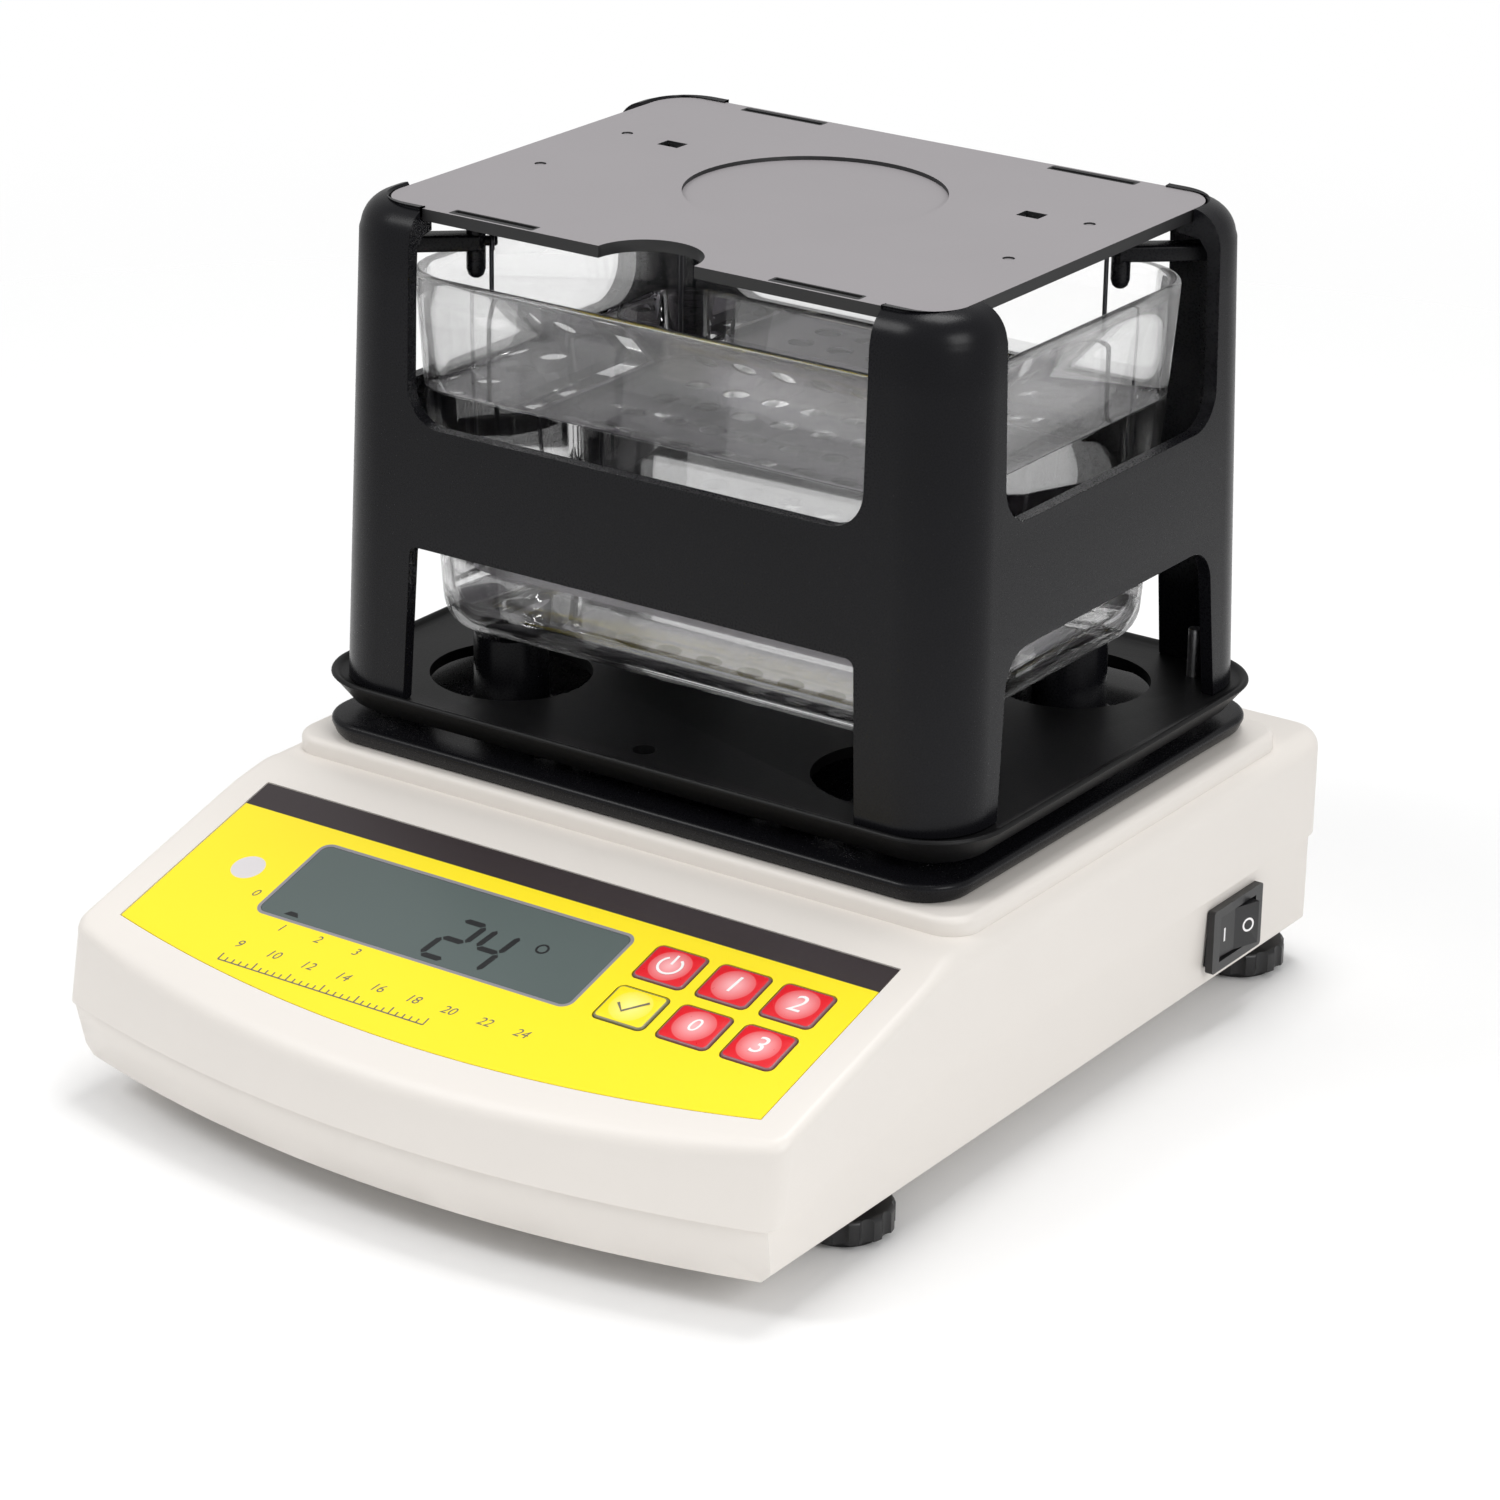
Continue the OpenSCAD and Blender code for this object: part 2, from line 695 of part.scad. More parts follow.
// Children with x out of the right wall and y along it
module at_switch() {
    translate([half_w - seam_step, switch_y, switch_z]) children();
}

module rocker_bezel() color("#2a2a2e") {
    difference() {
        at_switch() {
            rotate([0, 90, 0]) translate([0, 0, 0]) linear_extrude(bezel_t) rr2(bezel_h / 2, bezel_l / 2, 0.8);
            translate([-switch_body_d, -switch_body_l / 2, -switch_body_h / 2])
                cube([switch_body_d, switch_body_l, switch_body_h]);
            for (y = [-6, 0, 6]) translate([-switch_body_d - 6, y - 2.4, -0.4]) cube([6.5, 4.8, 0.8]);
        }
        at_switch() translate([-8.5, -pocket_l / 2, -pocket_w / 2]) cube([20, pocket_l, pocket_w]);
        translate([rocker_x - 2.2, switch_y, switch_z - rocker_w / 2 - 1]) cylinder(r = pivot_r + pivot_gap, h = rocker_w + 2);
    }
}

// Rocker in its ON place: front end pressed, back end proud
module rocker() color("#34343a") {
    translate([rocker_x - 2.2, switch_y, switch_z]) rotate([0, 0, -rocker_half]) {
        translate([0, 0, -rocker_w / 2]) linear_extrude(rocker_w)
            polygon([[-3.6, -2.6], [-3.6, 2.6], [1.2, rocker_l / 2], [3.9, rocker_l / 2], [2.9, 0],
                     [3.9, -rocker_l / 2], [1.2, -rocker_l / 2]]);
        translate([0, 0, -rocker_w / 2 - 0.9]) cylinder(r = pivot_r, h = rocker_w + 1.8);
    }
}

module dc_inlet() color("#1d1d20") {
    translate([inlet_x, 0, inlet_z]) difference() {
        union() {
            translate([0, house_back - seam_step + 0.4, 0]) rotate([90, 0, 0]) cylinder(r = inlet_r, h = 6);
            translate([-5.5, house_back - seam_step - 16, -6]) cube([11, 16 - case_wall, 12]);
        }
        translate([0, house_back + 1, 0]) rotate([90, 0, 0]) cylinder(r = 2.9, h = 12);
    }
    translate([inlet_x, house_back - seam_step - 1.5, inlet_z]) rotate([90, 0, 0]) cylinder(r = 1, h = 12);
}

// ---- weighing ------------------------------------------------------------

module load_cell() color("#c3c7cb") {
    translate([0, cell_y0, cell_z]) difference() {
        translate([-cell_w / 2, 0, 0]) cube([cell_w, cell_l, cell_w]);
        for (y = [cell_l / 2 - 8, cell_l / 2 + 8])
            translate([-cell_w, y, cell_w / 2]) rotate([0, 90, 0]) cylinder(r = 4.6, h = 2 * cell_w);
        translate([-cell_w, cell_l / 2 - 8, cell_w / 2 - 2]) cube([2 * cell_w, 16, 4]);
        for (y = [6, 14]) translate([0, y, -1]) cylinder(r = 2.6, h = cell_w + 2);
        for (y = [cell_l - 6, cell_l - 14]) translate([0, y, -1]) cylinder(r = 2.05, h = cell_w / 2 + 2);
    }
}

module cell_spacer() color("#9ea2a6") {
    difference() {
        translate([-cell_w / 2, cell_fixed - 10, case_z + 3.5]) cube([cell_w, 20, cell_z - case_z - 3.5]);
        for (y = [-4, 4]) translate([0, cell_fixed + y, case_z]) cylinder(r = 2.3, h = 20);
    }
}

module cell_screws() color("#8a8c90") {
    for (y = [-4, 4]) translate([0, cell_fixed + y, 0]) {
        translate([0, 0, case_z - 0.6 + 0.6]) cylinder(r = 3.6, h = 1.6);
        translate([0, 0, case_z + 1.6]) cylinder(r = 2, h = cell_z + 5.5 - case_z - 1.6);
    }
}

module carrier_spacer() color("#9ea2a6") {
    difference() {
        translate([-cell_w / 2, cell_free - 9, cell_z + cell_w + cell_gap])
            cube([cell_w, 18, carrier_z - cell_z - cell_w - cell_gap]);
        for (y = [-4, 4]) translate([0, cell_free + y, cell_z]) cylinder(r = 2.05, h = 40);
    }
}

module carrier_screws() color("#8a8c90") {
    for (y = [-4, 4]) translate([0, cell_free + y, 0]) {
        translate([0, 0, cell_z + 3]) cylinder(r = 2, h = carrier_z + carrier_t - cell_z - 3);
        translate([0, 0, carrier_z + carrier_t]) cylinder(r = 3.6, h = 2);
    }
}

module pan_carrier() color("#c9ccd0") {
    difference() {
        on_stand() translate([0, 0, carrier_z]) linear_extrude(carrier_t) {
            square([2 * carrier_x + 14, 22], center = true);
            for (x = [-1, 1]) translate([x * carrier_x, 0]) rr2(7, carrier_y + 7, 6);
            translate([0, cell_free - stand_y]) square([2 * carrier_x, 22], center = true);
        }
        for (y = [-4, 4]) translate([0, cell_free + y, carrier_z - 1]) cylinder(r = 2.05, h = 10);
        on_stand() at_corners(carrier_x, carrier_y) translate([0, 0, carrier_z - 1]) cylinder(r = 2.05, h = 10);
    }
}

module support_posts() color("#b4b8bc") {
    on_stand() at_corners(carrier_x, carrier_y) {
        translate([0, 0, carrier_z + carrier_t]) cylinder(r = support_r, h = floor_z - base_t - carrier_z - carrier_t);
        translate([0, 0, carrier_z - 1.5]) cylinder(r = 2, h = carrier_t + 3);
        translate([0, 0, carrier_z - 3]) cylinder(r = 3.4, h = 3);
    }
}

// ---- tray and tank -------------------------------------------------------

module tray() color("#2b2b2f") {
    on_stand() difference() {
        union() {
            flare([tray_hw - 1.6, tray_hd - 1.4, 10], [tray_hw, tray_hd, 11.5], plinth_z, tray_top);
            at_corners(post_x, post_y) translate([0, 0, plinth_z]) {
                cylinder(r = post_r, h = tank_z - plinth_z);
                translate([0, 0, tray_t - eps]) rotate_extrude() difference() {
                    translate([post_r - 1, 0]) square([4.5, 3.5]);
                    translate([post_r + 3.5, 3.5]) circle(3.5);
                }
            }
        }
        at_corners(carrier_x, carrier_y) translate([0, 0, plinth_z - 1]) cylinder(r = support_r + support_gap, h = 20);
        at_corners(tray_screw_x, tray_screw_y) {
            translate([0, 0, plinth_z - 1]) cylinder(r = screw_r + 0.3, h = 20);
            translate([0, 0, tray_top - 2]) cylinder(r = screw_head_r + 0.3, h = 20);
        }
    }
}

module tray_screws() color("#8a8c90") {
    on_stand() at_corners(tray_screw_x, tray_screw_y) {
        translate([0, 0, tray_top - 2]) cylinder(r = screw_head_r, h = 1.8);
        translate([0, 0, tray_top - 2 - tray_grip]) cylinder(r = screw_r, h = tray_grip);
    }
}

// Tapered tank solid with ball-rounded lower corners, inset by t, its bottom raised by floor_t
module tank_solid(t, floor_t, top) {
    r0 = tank_r_low - t;
    r1 = tank_r_top - t;
    hull() {
        for (x = [-1, 1], y = [-1, 1]) {
            translate([x * (tank_hw - tank_draft - t - r0), y * (tank_hd - tank_draft - t - r0), tank_z + floor_t + r0])
                sphere(r0, $fn = 32);
            translate([x * (tank_hw - t - r1), y * (tank_hd - t - r1), top - eps])
                cylinder(r = r1, h = eps, $fn = 48);
        }
    }
}

module tank() color([0.85, 0.9, 0.92, 0.4]) {
    on_stand() difference() {
        tank_solid(0, 0, tank_top);
        tank_solid(tank_wall, tank_wall + 1.4, tank_top + 0.5);
    }
}

// ---- weighed frame -------------------------------------------------------

module base_plate() color("#2f2f34") {
    on_stand() difference() {
        flare([base_hw - base_flare, base_hd - base_flare, 13], [base_hw, base_hd, 17], base_z, floor_z + rim_lip);
        rr_block(base_hw - 2, base_hd - 2, 15, floor_z, floor_z + 10);
        rr_block(base_hw - base_flare - 2, base_hd - base_flare - 2, 11, base_z - 5, floor_z - base_t);
        at_corners(post_x, post_y) translate([0, 0, base_z - 5]) cylinder(r = post_hole_r, h = 20);
        for (y = [-1, 1]) translate([0, y * (base_hd - 10.5), base_z]) cylinder(r = 2.6, h = 20);
        at_corners(frame_boss_x, frame_boss_y) {
            translate([0, 0, base_z]) cylinder(r = screw_r + 0.2, h = 20);
            translate([0, 0, base_z - 5]) cylinder(r = frame_head_r + screw_gap, h = floor_z - base_t - base_z + 5);
        }
    }
}

// One column-top corner: a ring section that rounds the outer top edge
module corner_top(r, f) {
    rotate_extrude($fn = 48) translate([max(r - f, 0.01), 0]) intersection() {
        circle(min(f, r), $fn = 32);
        translate([0, -f]) square([f, 2 * f]);
    }
}

// Frame as one drafted solid, inset by t, from z0 up to top
module frame_solid(t, z0, top, f) {
    hull() {
        for (x = [-1, 1], y = [-1, 1]) {
            translate([x * (frame_hw - frame_r), y * (frame_hd - frame_r), z0]) cylinder(r = frame_r - t, h = eps, $fn = 48);
            translate([x * (frame_top_hw - frame_r), y * (frame_top_hd - frame_r), top - f]) corner_top(frame_r - t, f);
        }
    }
}

// Places children at the four wires, x along the arm towards its column
module at_wires() {
    for (x = [0, 1], y = [0, 1]) mirror([x, 0, 0]) mirror([0, y, 0])
        translate([wire_x, wire_y, 0]) rotate([0, 0, arm_turn]) children();
}

// Arm from a column to the peg, with the pin that carries a wire
module hanger_arm() {
    translate([0, hook_r, 0]) {
        translate([peg_back, -arm_w / 2, arm_low]) cube([arm_l, arm_w, arm_h]);
        translate([peg_back, 0, peg_low]) cylinder(r = peg_r, h = arm_low + arm_h + 2 - peg_low);
        translate([peg_back, 0, peg_low]) sphere(peg_r);
        translate([-1.2, 0, arm_z]) rotate([0, 90, 0]) cylinder(r = pin_r, h = peg_back + 1.2);
    }
}

// Window seen along Y (or X when turned): arched at the bottom or the top
module upper_window(hw) {
    rotate([90, 0, 0]) translate([0, 0, -big / 2]) linear_extrude(big) {
        translate([-hw, band_high + win_r]) square([2 * hw, 80]);
        translate([-hw + win_r, band_high]) square([2 * (hw - win_r), 80]);
        for (x = [-1, 1]) translate([x * (hw - win_r), band_high + win_r]) circle(win_r);
    }
}

module lower_window(hw, flare_w, r) {
    rotate([90, 0, 0]) translate([0, 0, -big / 2]) linear_extrude(big) {
        polygon([[-hw, band_low - r], [hw, band_low - r], [hw + flare_w, floor_z - 5], [-hw - flare_w, floor_z - 5]]);
        translate([-hw + r, band_low - 20]) square([2 * (hw - r), 20]);
        for (x = [-1, 1]) translate([x * (hw - r), band_low - r]) circle(r);
    }
}

module frame_shell() color("#1f1f23") {
    on_stand() difference() {
        union() {
            difference() {
                frame_solid(0, floor_z, frame_top, column_top_r);
                frame_solid(frame_wall, floor_z - 1, plate_z - 2.8, 4.5);
            }
            intersection() {
                at_corners(frame_boss_x, frame_boss_y) translate([0, 0, floor_z]) cylinder(r = 4.5, h = 18);
                frame_solid(0.5, floor_z, frame_top, column_top_r);
            }
        }
        upper_window(win_front);
        rotate([0, 0, 90]) upper_window(win_side);
        lower_window(low_front, low_front_flare, low_front_r);
        rotate([0, 0, 90]) lower_window(low_side, low_side_flare, win_r);
        rr_block(plate_hw + plate_gap, plate_hd + plate_gap, plate_r + plate_gap, plate_z, frame_top + 5);
        rr_block(plate_hw - ledge_w, plate_hd - ledge_w, plate_r - 2, plate_z - 10, frame_top + 5);
        at_corners(frame_boss_x, frame_boss_y) translate([0, 0, floor_z - 1]) cylinder(r = screw_r + screw_gap, h = frame_grip + 3);
    }
    on_stand() intersection() {
        at_wires() hanger_arm();
        rr_block(frame_top_hw - frame_wall / 2, frame_top_hd - frame_wall / 2, frame_r - frame_wall / 2, floor_z, plate_z);
    }
}

module frame_screws() color("#8a8c90") {
    on_stand() at_corners(frame_boss_x, frame_boss_y) {
        translate([0, 0, floor_z - base_t - frame_head_h]) cylinder(r = frame_head_r, h = frame_head_h);
        translate([0, 0, floor_z - base_t]) cylinder(r = screw_r, h = base_t + frame_grip);
    }
}

// ---- top plate and basket ------------------------------------------------

module top_plate() color("#9b969a") {
    on_stand() difference() {
        rr_block(plate_hw, plate_hd, plate_r, plate_z, plate_top);
        translate([0, -plate_hd, plate_z - 1]) cylinder(r = notch_r, h = 10);
        translate([0, dish_y, plate_top - dish_d]) cylinder(r = dish_r, h = 10);
        for (x = [-1, 1], y = [-1, 1])
            translate([x * slot_x, y * (plate_hd - 2.6), plate_z - 1]) cube([slot_l, 1.4, 20], center = true);
        for (x = [-1, 1]) translate([x * 46.4, 18.6, plate_z - 1]) cube([5.4, 4.2, 20], center = true);
        for (x = [-1, 1], y = [-12, 20]) translate([x * 59.7, y, plate_top - 0.4]) cylinder(r = 1.3, h = 2);
    }
}

// Wire from the basket floor up to a hook over the arm's pin
module hanger_wires() color("#4a4a4e") {
    on_stand() at_wires() {
        translate([0, 0, basket_z + basket_t]) cylinder(r = wire_r, h = arm_z - basket_z - basket_t, $fn = 24);
        translate([0, hook_r, arm_z]) rotate([0, -90, 0]) rotate([0, 0, -90])
            rotate_extrude(angle = 180) translate([hook_r, 0]) circle(wire_r, $fn = 24);
        translate([0, 2 * hook_r, arm_z - 1.6]) cylinder(r = wire_r, h = 1.6, $fn = 24);
    }
}

module basket() color("#b6b7ba") {
    bx = wire_x + basket_margin;
    by = wire_y + basket_margin;
    on_stand() difference() {
        rr_block(bx, by, 8, basket_z, basket_z + basket_h);
        rr_block(bx - 1.4, by - 1.4, 6.6, basket_z + basket_t, basket_z + basket_h + 5);
        for (i = [-4:4], j = [-2:2])
            translate([i * 10.6, j * 12, basket_z - 1]) cylinder(r = 3.2, h = 5, $fn = 24);
        at_wires() translate([0, 0, basket_z + basket_t]) cylinder(r = wire_r + wire_gap, h = basket_h);
    }
}

// ---- feet ----------------------------------------------------------------

module foot_sole(x, y) color("#3a3a3e") translate([x, y, 0]) {
    cylinder(r = sole_r, h = sole_t);
    translate([0, 0, sole_t - eps]) cylinder(r = 2, h = 3);
}

module foot_knob(x, y) color("#1c1c1f") translate([x, y, sole_t]) {
    difference() {
        union() {
            rotate_extrude() {
                square([knob_r, knob_h - 1.2]);
                square([knob_r - 1.2, knob_h]);
                translate([knob_r - 1.2, knob_h - 1.2]) circle(1.2);
            }
            translate([0, 0, knob_h - eps]) cylinder(r = stud_r, h = stud_l);
        }
        for (a = [0:30:359]) rotate([0, 0, a]) translate([knob_r + 1.6, 0, -1]) cylinder(r = 2.4, h = knob_h + 2);
        translate([0, 0, -1]) cylinder(r = 2 + stud_gap, h = 4.4);
    }
}

module foot_sole_fl() foot_sole(-foot_x, foot_front_y);
module foot_sole_fr() foot_sole(foot_x, foot_front_y);
module foot_sole_bl() foot_sole(-foot_x, foot_back_y);
module foot_sole_br() foot_sole(foot_x, foot_back_y);
module foot_knob_fl() foot_knob(-foot_x, foot_front_y);
module foot_knob_fr() foot_knob(foot_x, foot_front_y);
module foot_knob_bl() foot_knob(-foot_x, foot_back_y);
module foot_knob_br() foot_knob(foot_x, foot_back_y);

upper_housing();
lower_housing();
keypad_overlay();
lcd_lens();
lcd_module();
main_board();
key_switches();
key_power();
key_one();
key_two();
key_enter();
key_zero();
key_three();
rocker_bezel();
rocker();
dc_inlet();
foot_nuts();
case_screws();
board_screws();
load_cell();
cell_spacer();
cell_screws();
carrier_spacer();
carrier_screws();
pan_carrier();
support_posts();
tray();
tray_screws();
tank();
base_plate();
frame_shell();
frame_screws();
top_plate();
hanger_wires();
basket();
foot_sole_fl();
foot_sole_fr();
foot_sole_bl();
foot_sole_br();
foot_knob_fl();
foot_knob_fr();
foot_knob_bl();
foot_knob_br();
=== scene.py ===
"""Electronic gold tester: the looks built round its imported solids, in metres, +Z up, keypad towards -Y."""

import json
import math
from functools import partial

import bpy
import numpy as np
from mathutils import Matrix, Vector


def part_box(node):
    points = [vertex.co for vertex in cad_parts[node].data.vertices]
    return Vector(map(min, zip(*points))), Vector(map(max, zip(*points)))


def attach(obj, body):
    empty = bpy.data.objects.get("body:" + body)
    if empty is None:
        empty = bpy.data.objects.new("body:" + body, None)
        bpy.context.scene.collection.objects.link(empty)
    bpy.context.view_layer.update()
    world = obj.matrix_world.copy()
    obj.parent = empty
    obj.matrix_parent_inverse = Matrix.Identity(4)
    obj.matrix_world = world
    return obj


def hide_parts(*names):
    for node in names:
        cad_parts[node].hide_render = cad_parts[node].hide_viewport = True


bl_info = {
    "name": "Gold tester looks",
    "version": (1, 0, 0),
    "blender": (4, 5, 0),
    "location": "View3D > Sidebar > Tester",
    "description": "Builds the visible surfaces of a density balance over its solids",
    "category": "Object",
}

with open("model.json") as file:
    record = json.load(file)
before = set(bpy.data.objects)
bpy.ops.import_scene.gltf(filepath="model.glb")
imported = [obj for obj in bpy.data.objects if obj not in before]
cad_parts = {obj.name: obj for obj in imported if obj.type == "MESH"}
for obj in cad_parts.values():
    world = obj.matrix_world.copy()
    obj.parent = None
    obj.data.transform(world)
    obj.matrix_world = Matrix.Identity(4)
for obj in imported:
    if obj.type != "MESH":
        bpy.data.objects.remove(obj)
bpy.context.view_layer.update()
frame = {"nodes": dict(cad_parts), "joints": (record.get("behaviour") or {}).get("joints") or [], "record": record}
NODES = frame["nodes"]
SIDES = (-1, 1)
CORNERS = [(i, j) for i in SIDES for j in SIDES]


# ---- places taken from the solids ------------------------------------------

def low(node):
    """Lowest corner of a solid, as an array in metres."""
    return np.array(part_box(node)[0])


def high(node):
    """Highest corner of a solid, as an array in metres."""
    return np.array(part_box(node)[1])


STAND_Y = (low("tank")[1] + high("tank")[1]) / 2
STAND = (0, STAND_Y, 0)


def half_size(node):
    """Half width and half depth of a solid that stands about STAND."""
    return high(node)[0], high(node)[1] - STAND_Y


HALF_W, BACK_Y, PLINTH_Z = high("upper_housing")
CASE_WALL = 0.0025
FRONT_R = 0.305
ARC_Y = FRONT_R + low("upper_housing")[1]
SEAM_Y, SEAM_Z = (-0.1035, -0.041), (0.022, 0.033)
TRAY_Z = PLINTH_Z + 0.0046
PLATE_LOW = low("top_plate")[2]
PLATE_SLOT_X, PLATE_SLOT_L = 0.0405, 0.0208
TANK_POSTS = [(i * 0.0505, j * 0.035) for i, j in CORNERS]
SUPPORTS = [(i * 0.028, j * 0.050) for i, j in CORNERS]
SUPPORT_HOLE_R = 0.006

# The keypad slope: x runs across, s up the slope from PANEL, and n out of it.
TILT = math.radians(16)
RIDGE_Y = -0.0387
DECK_Z = 0.0573
SLOPE_LENGTH = 0.0674
PANEL = np.array([0.0, RIDGE_Y - SLOPE_LENGTH * math.cos(TILT), DECK_Z - SLOPE_LENGTH * math.sin(TILT)])
UP_SLOPE = np.array([0.0, math.cos(TILT), math.sin(TILT)])
OUT_OF_SLOPE = np.array([0.0, -math.sin(TILT), math.cos(TILT)])
OVERLAY_N = -0.0001
DISPLAY_N = OVERLAY_N - 0.00005
KEY_TOP_N = OVERLAY_N + 0.0003
INK_N = 0.00003
OVERLAY_TOP_S = 0.0593
OVERLAY_ARC_R, OVERLAY_ARC_S = 0.334, -0.0018
DISPLAY_X, DISPLAY_S = -0.015, 0.0339
DISPLAY_HX, DISPLAY_HS = 0.081 / 2, 0.0242 / 2
KEYS = {"power": (0, 1), "one": (1, 1), "two": (2, 1), "enter": (0, 0), "zero": (1, 0), "three": (2, 0)}
KEY_PITCH = (0.0156, 0.0141)
KEY_FIRST = (0.0382, 0.0267)
KEY_HALF = (0.0062, 0.00545)
KEY_CORNER = 0.0014
KEY_HOLE = (0.00655, 0.0058, 0.0017)


def on_slope(x, s, n):
    """A point of the keypad slope: x across, s up the slope and n out of it give panel + s up + n out."""
    x, s, n = np.broadcast_arrays(x, s, n)
    return np.stack([x, PANEL[1] + s * UP_SLOPE[1] + n * OUT_OF_SLOPE[1],
                     PANEL[2] + s * UP_SLOPE[2] + n * OUT_OF_SLOPE[2]], axis=-1)


def key_centre(column, row):
    """Middle of a key on the slope."""
    return KEY_FIRST[0] + column * KEY_PITCH[0], KEY_FIRST[1] + row * KEY_PITCH[1]


# ---- sizes and colours a user would change ---------------------------------

Colour = partial(bpy.props.FloatVectorProperty, subtype="COLOR", size=3, min=0, max=1)
Length = partial(bpy.props.FloatProperty, unit="LENGTH")


class TesterColours(bpy.types.PropertyGroup):
    """Colours of the instrument's finishes."""

    case: Colour(name="Case", description="Moulded housing", default=(0.775, 0.735, 0.69))
    overlay: Colour(name="Overlay", description="Printed keypad overlay", default=(0.97, 0.785, 0.012))
    band: Colour(name="Band", description="Dark band across the overlay", default=(0.030, 0.021, 0.023))
    key: Colour(name="Keys", description="Red key pads", default=(0.76, 0.008, 0.018))
    frame: Colour(name="Frame", description="Black weighing frame", default=(0.006, 0.006, 0.0075))
    plate: Colour(name="Top plate", description="Grey weighing plate", default=(0.27, 0.255, 0.265))
    display: Colour(name="Display", description="Liquid crystal glass", default=(0.100, 0.126, 0.122))


class TesterSizes(bpy.types.PropertyGroup):
    """Sizes that only the looks use."""

    water_level: Length(name="Water level", description="Height of the water surface",
                        default=0.140, min=0.110, max=0.160)
    key_crown: Length(name="Key crown", description="Rise of a key pad in its middle",
                      default=0.00025, min=0.0, max=0.0006)
    front_round: Length(name="Front rounding", description="Radius between keypad slope and front",
                        default=0.0042, min=0.001, max=0.0046)
    edge_round: Length(name="Edge rounding", description="Rounding of cut edges on moulded parts",
                       default=0.0004, min=0.0001, max=0.001)


def colours():
    """The colours set in the scene."""
    return bpy.context.scene.tester_colours


def sizes():
    """The look sizes set in the scene."""
    return bpy.context.scene.tester_sizes


# ---- surfaces --------------------------------------------------------------

def rounded_rings(rows, corner=10):
    """Rings of rounded rectangles: each row is (half x, half y, corner radius, z) and each corner is the arc
    centre + radius (cos a, sin a) with a over a quarter turn. Gives points (rows, 4 (corner + 1), 3)."""
    rows = np.asarray(rows, float)
    a = np.concatenate([np.linspace(q, q + 90, corner + 1) for q in (0, 90, 180, 270)]) * math.pi / 180
    sx = np.repeat([1, -1, -1, 1], corner + 1)
    sy = np.repeat([1, 1, -1, -1], corner + 1)
    hx, hy, r, z = (rows[:, i:i + 1] for i in range(4))
    r = np.minimum(r, np.minimum(hx, hy))
    return np.stack([sx * (hx - r) + r * np.cos(a), sy * (hy - r) + r * np.sin(a), z + 0 * a], axis=-1)


def inset_rows(hx, hy, profile):
    """Rows for rounded_rings from a profile of (inset, corner radius, z)."""
    return [(hx - inset, hy - inset, r, z) for inset, r, z in profile]


def fillet(hx, hy, r, z, radius, start, stop, steps=5):
    """Rows that round an edge: the inset is radius (1 - cos a) and the height radius sin a, a from start to
    stop in degrees."""
    sharpest = 0.0002
    a = np.radians(np.linspace(start, stop, steps))
    inset = radius * (1 - np.cos(a))
    return [(hx - i, hy - i, max(r - i, sharpest), z + radius * math.sin(b)) for i, b in zip(inset, a)]


def ring_faces(count, around):
    """Quads between neighbouring rings, closed round each ring."""
    k, m = np.meshgrid(np.arange(count - 1), np.arange(around), indexing="ij")
    n = (m + 1) % around
    near, far = k * around, (k + 1) * around
    return np.stack([near + m, near + n, far + n, far + m], -1).reshape(-1, 4)


def ring_ends(count, around):
    """The flat faces on the first and the last of a count of rings."""
    return [list(range(around))[::-1], list(range((count - 1) * around, count * around))]


def new_object(name, data):
    """An object for a mesh, curve, light or camera, put into the scene."""
    item = bpy.data.objects.new(name, data)
    bpy.context.collection.objects.link(item)
    return item


def new_surface(name, points, faces):
    """An object whose mesh has these points and faces."""
    mesh = bpy.data.meshes.new(name)
    mesh.from_pydata(np.asarray(points, float).reshape(-1, 3).tolist(), [], faces)
    return new_object(name, mesh)


def shade(mesh, angle):
    """Smooth shading but for edges sharper than the angle in degrees."""
    mesh.shade_smooth()
    mesh.set_sharp_from_angle(angle=math.radians(angle))


def mesh_piece(name, points, faces, body, slot, material=None, smooth=35):
    """A new piece on a body, in its slot's finish or in a material of its own."""
    piece = new_surface(name, points, faces)
    piece.data.validate()
    shade(piece.data, smooth)
    piece.data.materials.append(material or finish(slot))
    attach(piece, body)
    return piece


def ring_piece(name, rings, body, slot, material=None, smooth=35, centre=(0, 0, 0), closed=True):
    """A piece from rings of points, its first and last ring closed by a flat face."""
    rings = np.asarray(rings, float) + np.asarray(centre, float)
    count, around = rings.shape[:2]
    faces = ring_faces(count, around).tolist()
    if closed:
        faces += ring_ends(count, around)
    return mesh_piece(name, rings, faces, body, slot, material, smooth)


def turned_piece(name, profile, centre, body, slot, around=48):
    """A piece turned about Z: each profile row (r, height) gives r (cos a, sin a) at its height."""
    a = np.linspace(0, 2 * math.pi, around, endpoint=False)
    p = np.asarray(profile, float)
    rings = np.stack([p[:, :1] * np.cos(a), p[:, :1] * np.sin(a), p[:, 1:] + 0 * a], axis=-1)
    return ring_piece(name, rings, body, slot, centre=centre)


def evaluated_mesh(item):
    """The mesh that an object's modifiers or text give."""
    graph = bpy.context.evaluated_depsgraph_get()
    return bpy.data.meshes.new_from_object(item.evaluated_get(graph), depsgraph=graph)


def apply_modifiers(piece):
    """Makes the piece's mesh what its modifiers give."""
    mesh = evaluated_mesh(piece)
    piece.modifiers.clear()
    old, piece.data = piece.data, mesh
    bpy.data.meshes.remove(old)
    shade(mesh, 35)


def prism(outline, place):
    """A closed cutter: an outline of (a, b) points carried from depth 0 to 1 by place(a, b, depth)."""
    o = np.asarray(outline, float)
    rings = np.stack([place(o[:, 0], o[:, 1], depth) for depth in (0.0, 1.0)])
    return rings.reshape(-1, 3), ring_faces(2, len(o)).tolist() + ring_ends(2, len(o))


